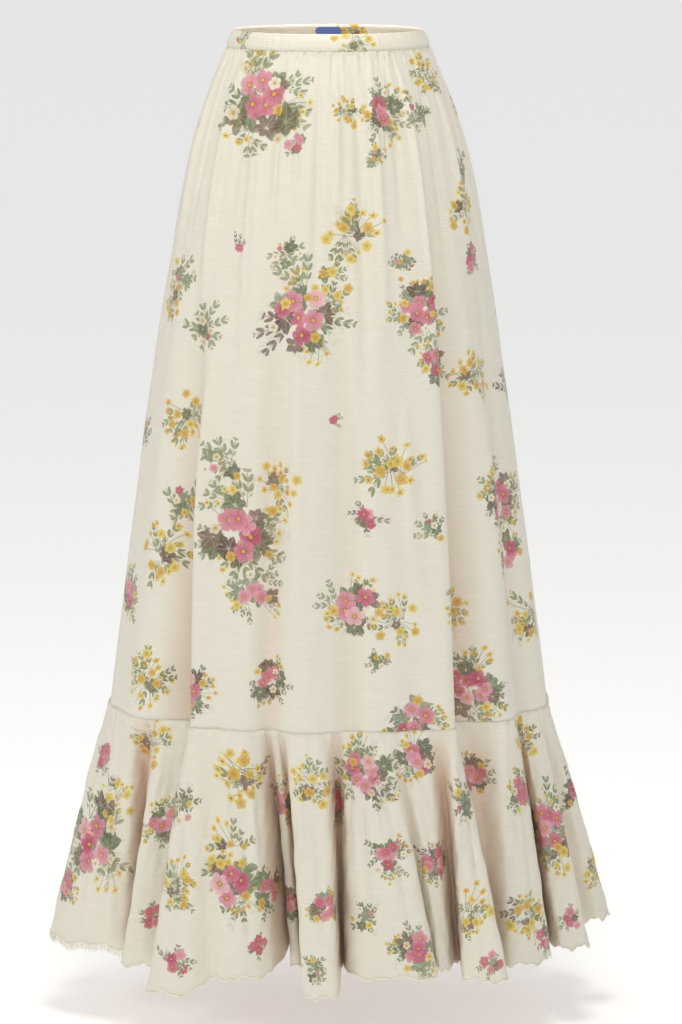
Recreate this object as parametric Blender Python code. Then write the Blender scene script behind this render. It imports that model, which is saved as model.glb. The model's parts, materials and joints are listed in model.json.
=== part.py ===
"""A long gathered skirt with a deep ruffle, as it hangs when it is worn.

Units are metres and +Z is up. The origin is the middle of the waist, level with the top of the
waistband, and the front of the skirt faces -Y. "Round" is always a share of the way round the
skirt, seen from above: 0 at the wearer's right side seam (-X), 0.25 at the centre front,
0.5 at the left side seam (+X) and 0.75 at the centre back.
"""
import math
from collections import namedtuple

import bmesh
import bpy
from mathutils import Vector

# ---------------------------------------------------------------- driving dimensions
BAND_HEIGHT = 0.020        # the elastic waistband
BAND_WALL = 0.0026         # two layers of cloth with the elastic between them
BAND_SWELL = 0.0012        # the band's round back, between its two stitched edges
CLOTH_WALL = 0.0013        # the cloth with its seam turnings
SEAM_GAP = 0.0003          # between pieces that are sewn to each other
SEAM_DROP = 0.806          # from the waist down to the seam of the ruffle
HEM_DROP = 1.100           # from the waist down to the ruffle's hem
RUFFLE_FLARE = 0.90        # under 1, the ruffle springs out just below its seam
CROWN = 0.15               # how round a ruffle fold's face is, as a share of its width
STEPS_A_TURN = 2           # stations between one turn of the ruffle and the next

LABEL_WIDTH = 0.031
LABEL_HEIGHT = 0.010
LABEL_WALL = 0.0008
LABEL_CORNER = 0.0048
LABEL_DROP = 0.0030        # from the band's top edge to the label's

BODY_ROWS = (0.032, 0.065, 0.13, 0.24, 0.40, 0.60)   # drops of the rings between waist and seam
RUFFLE_ROWS = (0.0, 0.14, 0.42, 0.72, 1.0)           # shares of the way from the seam to the hem

# The skirt's plain oval at several heights.
Section = namedtuple("Section", "drop half_width half_depth")
SECTIONS = (
    Section(0.000, 0.1100, 0.0860),
    Section(0.020, 0.1185, 0.0930),
    Section(0.070, 0.1395, 0.1090),
    Section(0.140, 0.1605, 0.1250),
    Section(0.250, 0.1830, 0.1410),
    Section(0.400, 0.2085, 0.1530),
    Section(0.600, 0.2360, 0.1630),
    Section(0.806, 0.2630, 0.1690),
)

# Long folds of the body. Each is a soft hump that runs from its place at the waist to its place
# at the seam. It starts to show at "begins" (a drop) and grows down to the seam, where it
# stands "out" (inward if negative) and leans sideways by "slide". "width" is a share round.
LongFold = namedtuple("LongFold", "waist seam begins out slide width")
LONG_FOLDS = (
    LongFold(0.030, 0.034, 0.10, 0.003, 0.000, 0.020),
    LongFold(0.075, 0.085, 0.12, 0.007, 0.000, 0.022),
    LongFold(0.098, 0.133, 0.25, -0.019, 0.010, 0.019),
    LongFold(0.118, 0.155, 0.25, 0.015, -0.012, 0.014),
    LongFold(0.178, 0.188, 0.20, 0.007, 0.004, 0.012),
    LongFold(0.195, 0.206, 0.20, -0.010, 0.000, 0.012),
    LongFold(0.232, 0.234, 0.10, 0.008, 0.000, 0.018),
    LongFold(0.258, 0.264, 0.12, -0.006, 0.000, 0.014),
    LongFold(0.290, 0.296, 0.18, 0.006, 0.000, 0.018),
    LongFold(0.356, 0.335, 0.12, 0.015, 0.012, 0.015),
    LongFold(0.378, 0.357, 0.12, -0.019, -0.010, 0.018),
    LongFold(0.405, 0.392, 0.20, 0.009, 0.000, 0.016),
    LongFold(0.432, 0.424, 0.25, -0.007, 0.000, 0.014),
    LongFold(0.465, 0.462, 0.20, 0.004, 0.000, 0.014),
    LongFold(0.535, 0.532, 0.15, 0.006, 0.000, 0.018),
    LongFold(0.575, 0.572, 0.22, -0.012, -0.004, 0.018),
    LongFold(0.600, 0.604, 0.22, 0.013, -0.009, 0.016),
    LongFold(0.655, 0.650, 0.12, -0.007, 0.000, 0.018),
    LongFold(0.700, 0.694, 0.18, 0.010, 0.004, 0.020),
    LongFold(0.745, 0.748, 0.10, -0.009, 0.000, 0.016),
    LongFold(0.780, 0.784, 0.15, 0.009, 0.000, 0.018),
    LongFold(0.832, 0.836, 0.25, 0.013, 0.010, 0.015),
    LongFold(0.852, 0.860, 0.25, -0.015, -0.006, 0.018),
    LongFold(0.905, 0.902, 0.15, 0.008, 0.000, 0.020),
    LongFold(0.950, 0.955, 0.20, -0.007, 0.000, 0.016),
)

# Folds of the ruffle, in order round the skirt. At the seam a fold takes the cloth from one share
# round to another. At the hem its face runs from its left edge to its right edge, seen from
# outside, and the cloth then turns back into a hollow before the next fold. These are places
# in plan. A fold's face hangs "lower" than the plain hem, and its hollow "hollow_lower".
RuffleFold = namedtuple(
    "RuffleFold",
    "seam_from seam_to left_x left_y right_x right_y hollow_x hollow_y lower hollow_lower",
)
RUFFLE_FOLDS = (
    RuffleFold(0.000, 0.085, -0.341, 0.000, -0.247, -0.064, -0.215, -0.016, 0.000, -0.006),
    RuffleFold(0.112, 0.130, -0.248, -0.108, -0.202, -0.116, -0.176, -0.128, 0.006, 0.002),
    RuffleFold(0.146, 0.162, -0.214, -0.172, -0.164, -0.194, -0.142, -0.180, 0.017, 0.004),
    RuffleFold(0.172, 0.198, -0.120, -0.190, -0.066, -0.162, -0.040, -0.086, 0.000, -0.024),
    RuffleFold(0.209, 0.212, -0.045, -0.121, -0.033, -0.124, -0.021, -0.090, 0.004, 0.000),
    RuffleFold(0.220, 0.247, -0.030, -0.186, 0.011, -0.188, 0.018, -0.100, 0.022, 0.008),
    RuffleFold(0.262, 0.288, 0.026, -0.163, 0.128, -0.168, 0.119, -0.130, 0.003, 0.000),
    RuffleFold(0.304, 0.318, 0.132, -0.150, 0.145, -0.142, 0.157, -0.088, 0.002, 0.008),
    RuffleFold(0.331, 0.350, 0.161, -0.158, 0.213, -0.168, 0.200, -0.098, 0.009, 0.004),
    RuffleFold(0.385, 0.406, 0.218, -0.126, 0.268, -0.088, 0.260, -0.016, 0.004, -0.004),
    RuffleFold(0.425, 0.446, 0.278, -0.074, 0.315, -0.060, 0.305, -0.008, -0.002, -0.012),
    RuffleFold(0.458, 0.478, 0.328, -0.010, 0.343, 0.022, 0.306, 0.040, -0.018, -0.012),
    RuffleFold(0.500, 0.530, 0.318, 0.068, 0.292, 0.118, 0.250, 0.090, -0.004, -0.006),
    RuffleFold(0.562, 0.600, 0.268, 0.135, 0.214, 0.180, 0.200, 0.128, 0.006, 0.000),
    RuffleFold(0.626, 0.648, 0.197, 0.174, 0.154, 0.204, 0.134, 0.148, 0.010, 0.002),
    RuffleFold(0.674, 0.716, 0.122, 0.202, 0.050, 0.222, 0.046, 0.156, 0.002, -0.008),
    RuffleFold(0.736, 0.756, 0.034, 0.194, -0.004, 0.214, -0.015, 0.150, 0.012, 0.002),
    RuffleFold(0.780, 0.826, -0.034, 0.210, -0.116, 0.208, -0.108, 0.148, 0.000, -0.010),
    RuffleFold(0.846, 0.864, -0.124, 0.182, -0.166, 0.194, -0.170, 0.132, 0.008, 0.004),
    RuffleFold(0.886, 0.926, -0.208, 0.172, -0.268, 0.132, -0.252, 0.084, 0.002, -0.008),
    RuffleFold(0.946, 0.974, -0.292, 0.104, -0.326, 0.064, -0.300, 0.036, -0.004, -0.010),
)
SIDE_TURN = 48             # the turn of the ruffle at the left side seam: four turns a fold

CREAM = (0.85, 0.82, 0.70)
LABEL_BLUE = (0.10, 0.13, 0.33)


# ---------------------------------------------------------------- the skirt's surface
def smooth_between(start, end, slope_start, slope_end, share):
    """A smooth curve's value a share of the way from start to end, with a slope at each."""
    square = share * share
    cube = square * share
    value = start * (2 * cube - 3 * square + 1) + end * (3 * square - 2 * cube)
    return value + slope_start * (cube - 2 * square + share) + slope_end * (cube - square)


def oval(drop):
    """The half-width and half-depth of the plain oval at a drop below the waist."""
    place = 0
    while place < len(SECTIONS) - 2 and drop > SECTIONS[place + 1].drop:
        place += 1
    low, high = SECTIONS[place], SECTIONS[place + 1]
    before = SECTIONS[max(place - 1, 0)]
    after = SECTIONS[min(place + 2, len(SECTIONS) - 1)]
    span = high.drop - low.drop
    sizes = []
    for column in ("half_width", "half_depth"):
        slopes = []
        for left, right in ((before, high), (low, after)):
            rise = getattr(right, column) - getattr(left, column)
            slopes.append(rise / (right.drop - left.drop) * span)
        share = (drop - low.drop) / span
        sizes.append(smooth_between(getattr(low, column), getattr(high, column), *slopes, share))
    return sizes


def body_point(around, drop):
    """A point on the body of the skirt: the plain oval, its normal, and the long folds."""
    half_width, half_depth = oval(drop)
    turn = math.tau * around
    base = Vector((-half_width * math.cos(turn), -half_depth * math.sin(turn), -drop))
    along = Vector((half_width * math.sin(turn), -half_depth * math.cos(turn), 0)).normalized()
    outward = Vector((along.y, -along.x, 0))
    fall = drop / SEAM_DROP
    for fold in LONG_FOLDS:
        middle = fold.waist + (fold.seam - fold.waist) * fall
        away = (around - middle + 0.5) % 1.0 - 0.5
        grown = max(drop - fold.begins, 0) / (SEAM_DROP - fold.begins)
        strength = math.sin(grown * math.pi / 2) * math.exp(-((away / fold.width) ** 2))
        base += outward * (fold.out * strength) + along * (fold.slide * strength)
    return base


def ruffle_turns():
    """The turns of the ruffle, four a fold: its place at the seam, and its point at the hem."""
    turns = []
    for number, fold in enumerate(RUFFLE_FOLDS):
        following = RUFFLE_FOLDS[(number + 1) % len(RUFFLE_FOLDS)]
        next_from = following.seam_from + (1.0 if following.seam_from < fold.seam_to else 0.0)
        left = Vector((fold.left_x, fold.left_y, -HEM_DROP - fold.lower))
        right = Vector((fold.right_x, fold.right_y, -HEM_DROP - fold.lower))
        across = right - left
        crown = Vector((across.y, -across.x, 0)) * CROWN
        hollow = Vector((fold.hollow_x, fold.hollow_y, -HEM_DROP - fold.hollow_lower))
        turns.append((fold.seam_from, left))
        turns.append(((fold.seam_from + fold.seam_to) / 2, (left + right) / 2 + crown))
        turns.append((fold.seam_to, right))
        turns.append(((fold.seam_to + next_from) / 2, hollow))
    return turns


TURNS = ruffle_turns()


def hem_slopes():
    """The hem's direction at each turn, no longer than the way to its nearer neighbour."""
    slopes = []
    for number, (_, hem) in enumerate(TURNS):
        before, after = TURNS[number - 1][1], TURNS[(number + 1) % len(TURNS)][1]
        slope = (after - before) / 2
        most = min((hem - before).length, (after - hem).length)
        slopes.append(slope * min(1.0, most / slope.length))
    return slopes


HEM_SLOPES = hem_slopes()


def at_turn(turn):
    """The share round at the seam and the point at the hem, at a (fractional) turn."""
    place = math.floor(turn)
    share = turn - place
    left, right = place % len(TURNS), (place + 1) % len(TURNS)
    start, end = TURNS[left][0], TURNS[right][0]
    if end < start:
        end += 1.0
    hem = smooth_between(
        TURNS[left][1], TURNS[right][1], HEM_SLOPES[left], HEM_SLOPES[right], share
    )
    return start + (end - start) * share, hem


def skirt_point(turn, drop):
    """A point above the seam, on the station that meets the ruffle at this turn."""
    return body_point(at_turn(turn)[0], drop)


def ruffle_point(turn, fall):
    """A point on the ruffle: fall is 0 at the seam and 1 at the hem."""
    around, hem = at_turn(turn)
    top = body_point(around, SEAM_DROP)
    top.z -= SEAM_GAP
    spread = fall ** RUFFLE_FLARE
    point = top.lerp(hem, spread)
    point.z = top.z + (hem.z - top.z) * fall
    return point


# ---------------------------------------------------------------- walls of cloth
def level_ring(point_at, turns, wall, closed):
    """The outer and inner line of a level ring of cloth, half a wall either side of its middle."""
    reach = turns[1] - turns[0]
    outer, inner = [], []
    for number, turn in enumerate(turns):
        centre = point_at(turn)
        arriving = centre - point_at(turn - reach)
        leaving = point_at(turn + reach) - centre
        along = arriving.xy.normalized() + leaving.xy.normalized()
        along = along.normalized().to_3d()
        if not closed and number == 0:
            centre += along * (SEAM_GAP / 2)
        if not closed and number == len(turns) - 1:
            centre -= along * (SEAM_GAP / 2)
        outward = Vector((along.y, -along.x, 0)) * (wall / 2)
        outer.append(centre + outward)
        inner.append(centre - outward)
    return outer, inner


def cloth_wall(name, rings, closed, material):
    """Loft rings, top to bottom, into one closed wall of cloth."""
    mesh_maker = bmesh.new()
    grid = []
    for lines in rings:
        grid.append([[mesh_maker.verts.new(point) for point in line] for line in lines])
    count = len(rings[0][0])
    spans = [(n, (n + 1) % count) for n in range(count if closed else count - 1)]
    for upper, lower in zip(grid, grid[1:]):
        for left, right in spans:
            mesh_maker.faces.new((upper[0][left], lower[0][left], lower[0][right], upper[0][right]))
            mesh_maker.faces.new((upper[1][left], upper[1][right], lower[1][right], lower[1][left]))
        if not closed:
            mesh_maker.faces.new((upper[0][0], upper[1][0], lower[1][0], lower[0][0]))
            mesh_maker.faces.new((upper[0][-1], lower[0][-1], lower[1][-1], upper[1][-1]))
    for left, right in spans:
        top, foot = grid[0], grid[-1]
        mesh_maker.faces.new((top[0][left], top[0][right], top[1][right], top[1][left]))
        mesh_maker.faces.new((foot[0][left], foot[1][left], foot[1][right], foot[0][right]))
    bmesh.ops.recalc_face_normals(mesh_maker, faces=mesh_maker.faces)
    mesh = bpy.data.meshes.new(name)
    mesh_maker.to_mesh(mesh)
    mesh_maker.free()
    mesh.materials.append(material)
    return add_to_skirt(name, mesh)


def add_to_skirt(name, mesh):
    """Put a finished mesh into the skirt's collection as one named piece."""
    piece = bpy.data.objects.new(name, mesh)
    COLLECTION.objects.link(piece)
    return piece


def finish(name, colour, roughness):
    """A plain cloth material."""
    material = bpy.data.materials.new(name)
    material.use_nodes = True
    shader = material.node_tree.nodes["Principled BSDF"]
    shader.inputs["Base Color"].default_value = (*colour, 1.0)
    shader.inputs["Roughness"].default_value = roughness
    shader.inputs["Metallic"].default_value = 0.0
    return material


# ---------------------------------------------------------------- the pieces, as they are sewn
def stations(first, last):
    """Places along the cloth, in turns of the ruffle, where every ring has a point."""
    count = (last - first) * STEPS_A_TURN
    return [first + number / STEPS_A_TURN for number in range(count + 1)]


def build_waistband(material):
    """One ring of cloth over elastic, a little fuller between its stitched edges."""
    rings = []
    for drop, swell in ((0.0, 0.0), (BAND_HEIGHT / 2, BAND_SWELL), (BAND_HEIGHT - SEAM_GAP, 0.0)):
        def band_point(turn, drop=drop, swell=swell):
            point = skirt_point(turn, drop)
            return point + Vector((point.x, point.y, 0)).normalized() * swell

        rings.append(level_ring(band_point, stations(0, len(TURNS))[:-1:2], BAND_WALL, True))
    cloth_wall("waistband", rings, True, material)


def build_body(name, first, last, material):
    """A front or back panel, from the waistband down to the ruffle's seam."""
    rings = []
    for drop in (BAND_HEIGHT, *BODY_ROWS, SEAM_DROP):
        def body_row(turn, drop=drop):
            return skirt_point(turn, drop)

        rings.append(level_ring(body_row, stations(first, last), CLOTH_WALL, False))
    cloth_wall(name, rings, False, material)


def build_ruffle(name, first, last, material):
    """A front or back length of the ruffle, gathered at the seam and deeply folded at the hem."""
    rings = []
    for fall in RUFFLE_ROWS:
        def ruffle_row(turn, fall=fall):
            return ruffle_point(turn, fall)

        rings.append(level_ring(ruffle_row, stations(first, last), CLOTH_WALL, False))
    cloth_wall(name, rings, False, material)


def build_label(material):
    """A bare woven label with round corners, flat against the inside of the band's centre back."""
    outline = bpy.data.curves.new("label outline", "CURVE")
    outline.dimensions = "2D"
    outline.fill_mode = "BOTH"
    outline.extrude = LABEL_WALL / 2
    line = outline.splines.new("POLY")
    steps_a_corner = 4
    points = []
    for corner, (side_x, side_y) in enumerate(((1, 1), (-1, 1), (-1, -1), (1, -1))):
        for step in range(steps_a_corner + 1):
            angle = math.pi / 2 * (corner + step / steps_a_corner)
            across = side_x * (LABEL_WIDTH / 2 - LABEL_CORNER) + LABEL_CORNER * math.cos(angle)
            height = side_y * (LABEL_HEIGHT / 2 - LABEL_CORNER) + LABEL_CORNER * math.sin(angle)
            points.append((across, height))
    line.points.add(len(points) - 1)
    for place, (across, height) in zip(line.points, points):
        place.co = (across, height, 0.0, 1.0)
    line.use_cyclic_u = True
    flat = bpy.data.objects.new("label flat", outline)
    COLLECTION.objects.link(flat)
    bpy.context.view_layer.update()
    mesh = bpy.data.meshes.new_from_object(flat.evaluated_get(bpy.context.evaluated_depsgraph_get()))
    bpy.data.objects.remove(flat)
    mesh.name = "label"
    mesh_maker = bmesh.new()
    mesh_maker.from_mesh(mesh)
    bmesh.ops.remove_doubles(mesh_maker, verts=mesh_maker.verts, dist=0.00001)
    mesh_maker.to_mesh(mesh)
    mesh_maker.free()
    mesh.materials.clear()
    mesh.materials.append(material)
    label = add_to_skirt("label", mesh)
    corner = 0.75 - LABEL_WIDTH / 2 / (math.tau * SECTIONS[0].half_width)
    foot_drop = LABEL_DROP + LABEL_HEIGHT
    top_y, foot_y = body_point(corner, LABEL_DROP).y, body_point(corner, foot_drop).y
    slope = math.atan2(foot_y - top_y, LABEL_HEIGHT)
    clear = (BAND_WALL / 2 + SEAM_GAP + LABEL_WALL / 2) / math.cos(slope)
    label.rotation_euler = (math.pi / 2 + slope, 0, 0)
    label.location = (0, (top_y + foot_y) / 2 - clear, -(LABEL_DROP + foot_drop) / 2)


for old in list(bpy.data.objects):
    bpy.data.objects.remove(old)
COLLECTION = bpy.data.collections.new("gathered skirt")
bpy.context.scene.collection.children.link(COLLECTION)
CLOTH = finish("cream cloth", CREAM, 0.55)
LABEL_CLOTH = finish("blue woven label", LABEL_BLUE, 0.6)

build_waistband(CLOTH)
build_body("body_front", 0, SIDE_TURN, CLOTH)
build_body("body_back", SIDE_TURN, len(TURNS), CLOTH)
build_ruffle("ruffle_front", 0, SIDE_TURN, CLOTH)
build_ruffle("ruffle_back", SIDE_TURN, len(TURNS), CLOTH)
build_label(LABEL_CLOTH)
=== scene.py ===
# %% [markdown]
# # A long printed skirt with a deep ruffle
#
# The real thing is five lengths of thin, slubby silk and cotton cloth: a strip folded over
# elastic for the waistband, two flared panels for the body, and two flared strips that are
# gathered into a ruffle. It is shown hollow and filled out, as it hangs when it is worn.
#
# There are two ways to make such cloth in Blender: drop flat panels on a figure with the cloth
# simulator, or describe the surface by its sections and folds. Simulated folds fall where they
# like. Here each fold has its own place, so the surface is described: every fold is one row of a
# table, and numpy turns the tables into fine grids of points.

# %% The fixed frame
import json
import math

import bpy
import numpy as np
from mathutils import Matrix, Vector

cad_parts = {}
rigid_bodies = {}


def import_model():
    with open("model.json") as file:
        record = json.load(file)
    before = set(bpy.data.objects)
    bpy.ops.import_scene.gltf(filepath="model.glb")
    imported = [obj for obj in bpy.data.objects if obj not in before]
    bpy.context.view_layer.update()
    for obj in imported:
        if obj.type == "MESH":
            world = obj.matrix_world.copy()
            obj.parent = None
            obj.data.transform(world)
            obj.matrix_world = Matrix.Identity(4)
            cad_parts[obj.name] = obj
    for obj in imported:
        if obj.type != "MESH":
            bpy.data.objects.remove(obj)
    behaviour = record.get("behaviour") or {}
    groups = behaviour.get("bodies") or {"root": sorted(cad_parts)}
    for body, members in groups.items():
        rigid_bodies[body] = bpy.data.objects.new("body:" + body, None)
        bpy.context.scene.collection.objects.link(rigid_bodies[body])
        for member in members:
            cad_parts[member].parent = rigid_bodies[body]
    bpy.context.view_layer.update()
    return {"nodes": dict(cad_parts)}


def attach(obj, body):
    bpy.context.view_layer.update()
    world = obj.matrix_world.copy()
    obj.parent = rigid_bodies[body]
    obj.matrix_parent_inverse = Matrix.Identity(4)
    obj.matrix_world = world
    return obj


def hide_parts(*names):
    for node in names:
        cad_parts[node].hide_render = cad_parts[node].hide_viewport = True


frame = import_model()

# %% [markdown]
# ## The sizes
#
# These repeat the sizes that the solid model was made from, in metres. "Round" is a share of the
# way round the skirt, seen from above: 0 at the wearer's right side seam (-X), 0.25 at the
# centre front (-Y), 0.5 at the left side seam and 0.75 at the centre back. A drop is measured down
# from the waist. Rows in tables keep the numbers few enough to change by hand.

# %% Sizes and the plain oval
BAND_HEIGHT = 0.020
SEAM_DROP = 0.806
HEM_DROP = 1.100
RUFFLE_FLARE = 0.90
CROWN = 0.15
CLOTH_THICK = 0.0005

# Each row: drop, half-width and half-depth.
SECTIONS = np.array((
    (0.000, 0.1100, 0.0860),
    (0.020, 0.1185, 0.0930),
    (0.070, 0.1395, 0.1090),
    (0.140, 0.1605, 0.1250),
    (0.250, 0.1830, 0.1410),
    (0.400, 0.2085, 0.1530),
    (0.600, 0.2360, 0.1630),
    (0.806, 0.2630, 0.1690),
))


def smooth_between(start, end, slope_start, slope_end, share):
    """Smooth curves' values a share of the way from start to end, with a slope at each."""
    square, cube = share ** 2, share ** 3
    value = start * (2 * cube - 3 * square + 1) + end * (3 * square - 2 * cube)
    return value + slope_start * (cube - 2 * square + share) + slope_end * (cube - square)


def oval(drop):
    """The half-width and half-depth of the plain oval at some drops, on a smooth curve."""
    rows = SECTIONS[:, 0]
    low = np.clip(np.searchsorted(rows, drop) - 1, 0, len(rows) - 2)
    high = low + 1
    before = np.maximum(low - 1, 0)
    after = np.minimum(high + 1, len(rows) - 1)
    span = rows[high] - rows[low]
    share = (drop - rows[low]) / span
    sizes = []
    for size in SECTIONS[:, 1:].T:
        slope_low = (size[high] - size[before]) / (rows[high] - rows[before]) * span
        slope_high = (size[after] - size[low]) / (rows[after] - rows[low]) * span
        sizes.append(smooth_between(size[low], size[high], slope_low, slope_high, share))
    return sizes


print("the waist is", 2 * SECTIONS[0, 1:], "m wide and deep; the hem is", HEM_DROP, "m lower")

# %% [markdown]
# ## The long folds of the body
#
# Cloth that is gathered at the waist opens into long folds that deepen on their way down. Each one
# is a soft hump with a bell-shaped section. It can lean sideways, and a hump that leans further
# than it is wide overlaps the cloth beside it, as two of the front folds do.

# %% Long folds
# waist and seam: its place round at the top and bottom; begins: the drop where it starts to show;
# out and slide: how far it stands out and leans at the seam; width: a share round.
LONG_FOLDS = (
    (0.030, 0.034, 0.10, 0.003, 0.000, 0.020),
    (0.075, 0.085, 0.12, 0.007, 0.000, 0.022),
    (0.098, 0.133, 0.25, -0.019, 0.010, 0.019),
    (0.118, 0.155, 0.25, 0.015, -0.012, 0.014),
    (0.178, 0.188, 0.20, 0.007, 0.004, 0.012),
    (0.195, 0.206, 0.20, -0.010, 0.000, 0.012),
    (0.232, 0.234, 0.10, 0.008, 0.000, 0.018),
    (0.258, 0.264, 0.12, -0.006, 0.000, 0.014),
    (0.290, 0.296, 0.18, 0.006, 0.000, 0.018),
    (0.356, 0.335, 0.12, 0.015, 0.012, 0.015),
    (0.378, 0.357, 0.12, -0.019, -0.010, 0.018),
    (0.405, 0.392, 0.20, 0.009, 0.000, 0.016),
    (0.432, 0.424, 0.25, -0.007, 0.000, 0.014),
    (0.465, 0.462, 0.20, 0.004, 0.000, 0.014),
    (0.535, 0.532, 0.15, 0.006, 0.000, 0.018),
    (0.575, 0.572, 0.22, -0.012, -0.004, 0.018),
    (0.600, 0.604, 0.22, 0.013, -0.009, 0.016),
    (0.655, 0.650, 0.12, -0.007, 0.000, 0.018),
    (0.700, 0.694, 0.18, 0.010, 0.004, 0.020),
    (0.745, 0.748, 0.10, -0.009, 0.000, 0.016),
    (0.780, 0.784, 0.15, 0.009, 0.000, 0.018),
    (0.832, 0.836, 0.25, 0.013, 0.010, 0.015),
    (0.852, 0.860, 0.25, -0.015, -0.006, 0.018),
    (0.905, 0.902, 0.15, 0.008, 0.000, 0.020),
    (0.950, 0.955, 0.20, -0.007, 0.000, 0.016),
)


def bell(away, width):
    """A bell-shaped section: 1 in the middle, and nearly nothing two widths away."""
    return np.exp(-((away / width) ** 2))


def share_away(around, middle):
    """How far round one place is from another, the short way."""
    return (around - middle + 0.5) % 1.0 - 0.5


def body_surface(around, drop, proud=0.0):
    """Points on the body. around and drop are arrays of one shape; proud moves them outward."""
    half_width, half_depth = oval(drop)
    turn = math.tau * around
    along = np.stack((half_width * np.sin(turn), -half_depth * np.cos(turn), 0 * turn), axis=-1)
    along /= np.linalg.norm(along, axis=-1, keepdims=True)
    outward = np.stack((along[..., 1], -along[..., 0], 0 * turn), axis=-1)
    out, slide = proud + 0 * turn, 0 * turn
    for waist, seam, begins, height, lean, width in LONG_FOLDS:
        middle = waist + (seam - waist) * drop / SEAM_DROP
        grown = np.clip((drop - begins) / (SEAM_DROP - begins), 0, 1.05)
        strength = np.sin(grown * math.pi / 2) * bell(share_away(around, middle), width)
        out = out + height * strength
        slide = slide + lean * strength
    base = np.stack((-half_width * np.cos(turn), -half_depth * np.sin(turn), -drop), axis=-1)
    return base + outward * out[..., None] + along * slide[..., None]


# %% [markdown]
# ## The folds of the ruffle
#
# At the hem the ruffle is far longer than the seam it hangs from, so it swings in and out. Seen in
# plan, its hem is one line that runs along the face of each fold, turns at an edge, and goes back
# into a hollow. Each fold is a row: where it takes its cloth from the seam, the two edges of its
# face, and the hollow that follows. A smooth curve runs through these turns, four to a fold.

# %% Ruffle folds
RUFFLE_COLUMNS = (
    "seam_from", "seam_to", "left_x", "left_y", "right_x", "right_y",
    "hollow_x", "hollow_y", "lower", "hollow_lower",
)
RUFFLE_FOLDS = (
    (0.000, 0.085, -0.341, 0.000, -0.247, -0.064, -0.215, -0.016, 0.000, -0.006),
    (0.112, 0.130, -0.248, -0.108, -0.202, -0.116, -0.176, -0.128, 0.006, 0.002),
    (0.146, 0.162, -0.214, -0.172, -0.164, -0.194, -0.142, -0.180, 0.017, 0.004),
    (0.172, 0.198, -0.120, -0.190, -0.066, -0.162, -0.040, -0.086, 0.000, -0.024),
    (0.209, 0.212, -0.045, -0.121, -0.033, -0.124, -0.021, -0.090, 0.004, 0.000),
    (0.220, 0.247, -0.030, -0.186, 0.011, -0.188, 0.018, -0.100, 0.022, 0.008),
    (0.262, 0.288, 0.026, -0.163, 0.128, -0.168, 0.119, -0.130, 0.003, 0.000),
    (0.304, 0.318, 0.132, -0.150, 0.145, -0.142, 0.157, -0.088, 0.002, 0.008),
    (0.331, 0.350, 0.161, -0.158, 0.213, -0.168, 0.200, -0.098, 0.009, 0.004),
    (0.385, 0.406, 0.218, -0.126, 0.268, -0.088, 0.260, -0.016, 0.004, -0.004),
    (0.425, 0.446, 0.278, -0.074, 0.315, -0.060, 0.305, -0.008, -0.002, -0.012),
    (0.458, 0.478, 0.328, -0.010, 0.343, 0.022, 0.306, 0.040, -0.018, -0.012),
    (0.500, 0.530, 0.318, 0.068, 0.292, 0.118, 0.250, 0.090, -0.004, -0.006),
    (0.562, 0.600, 0.268, 0.135, 0.214, 0.180, 0.200, 0.128, 0.006, 0.000),
    (0.626, 0.648, 0.197, 0.174, 0.154, 0.204, 0.134, 0.148, 0.010, 0.002),
    (0.674, 0.716, 0.122, 0.202, 0.050, 0.222, 0.046, 0.156, 0.002, -0.008),
    (0.736, 0.756, 0.034, 0.194, -0.004, 0.214, -0.015, 0.150, 0.012, 0.002),
    (0.780, 0.826, -0.034, 0.210, -0.116, 0.208, -0.108, 0.148, 0.000, -0.010),
    (0.846, 0.864, -0.124, 0.182, -0.166, 0.194, -0.170, 0.132, 0.008, 0.004),
    (0.886, 0.926, -0.208, 0.172, -0.268, 0.132, -0.252, 0.084, 0.002, -0.008),
    (0.946, 0.974, -0.292, 0.104, -0.326, 0.064, -0.300, 0.036, -0.004, -0.010),
)
TURNS_A_FOLD = 4
SIDE_TURN = 12 * TURNS_A_FOLD    # the turn at the left side seam
LAST_TURN = len(RUFFLE_FOLDS) * TURNS_A_FOLD


def ruffle_turns():
    """Each turn's place at the seam (a share round) and its point at the hem."""
    shares, hems = [], []
    for number, fold in enumerate(RUFFLE_FOLDS):
        row = dict(zip(RUFFLE_COLUMNS, fold))
        following = RUFFLE_FOLDS[(number + 1) % len(RUFFLE_FOLDS)][0]
        next_from = following + (1.0 if following < row["seam_to"] else 0.0)
        left = np.array((row["left_x"], row["left_y"], -HEM_DROP - row["lower"]))
        right = np.array((row["right_x"], row["right_y"], -HEM_DROP - row["lower"]))
        across = right - left
        crown = np.array((across[1], -across[0], 0.0)) * CROWN
        hollow = (row["hollow_x"], row["hollow_y"], -HEM_DROP - row["hollow_lower"])
        middle = (row["seam_from"] + row["seam_to"]) / 2
        shares += [row["seam_from"], middle, row["seam_to"], (row["seam_to"] + next_from) / 2]
        hems += [left, (left + right) / 2 + crown, right, np.array(hollow)]
    return np.array(shares), np.array(hems)


TURN_SHARES, TURN_HEMS = ruffle_turns()


def hem_slopes():
    """The hem's direction at each turn, no longer than the way to its nearer neighbour."""
    before, after = np.roll(TURN_HEMS, 1, axis=0), np.roll(TURN_HEMS, -1, axis=0)
    slope = (after - before) / 2
    nearer = np.minimum(
        np.linalg.norm(TURN_HEMS - before, axis=1), np.linalg.norm(after - TURN_HEMS, axis=1)
    )
    return slope * np.minimum(1.0, nearer / np.linalg.norm(slope, axis=1))[:, None]


HEM_SLOPES = hem_slopes()


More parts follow.
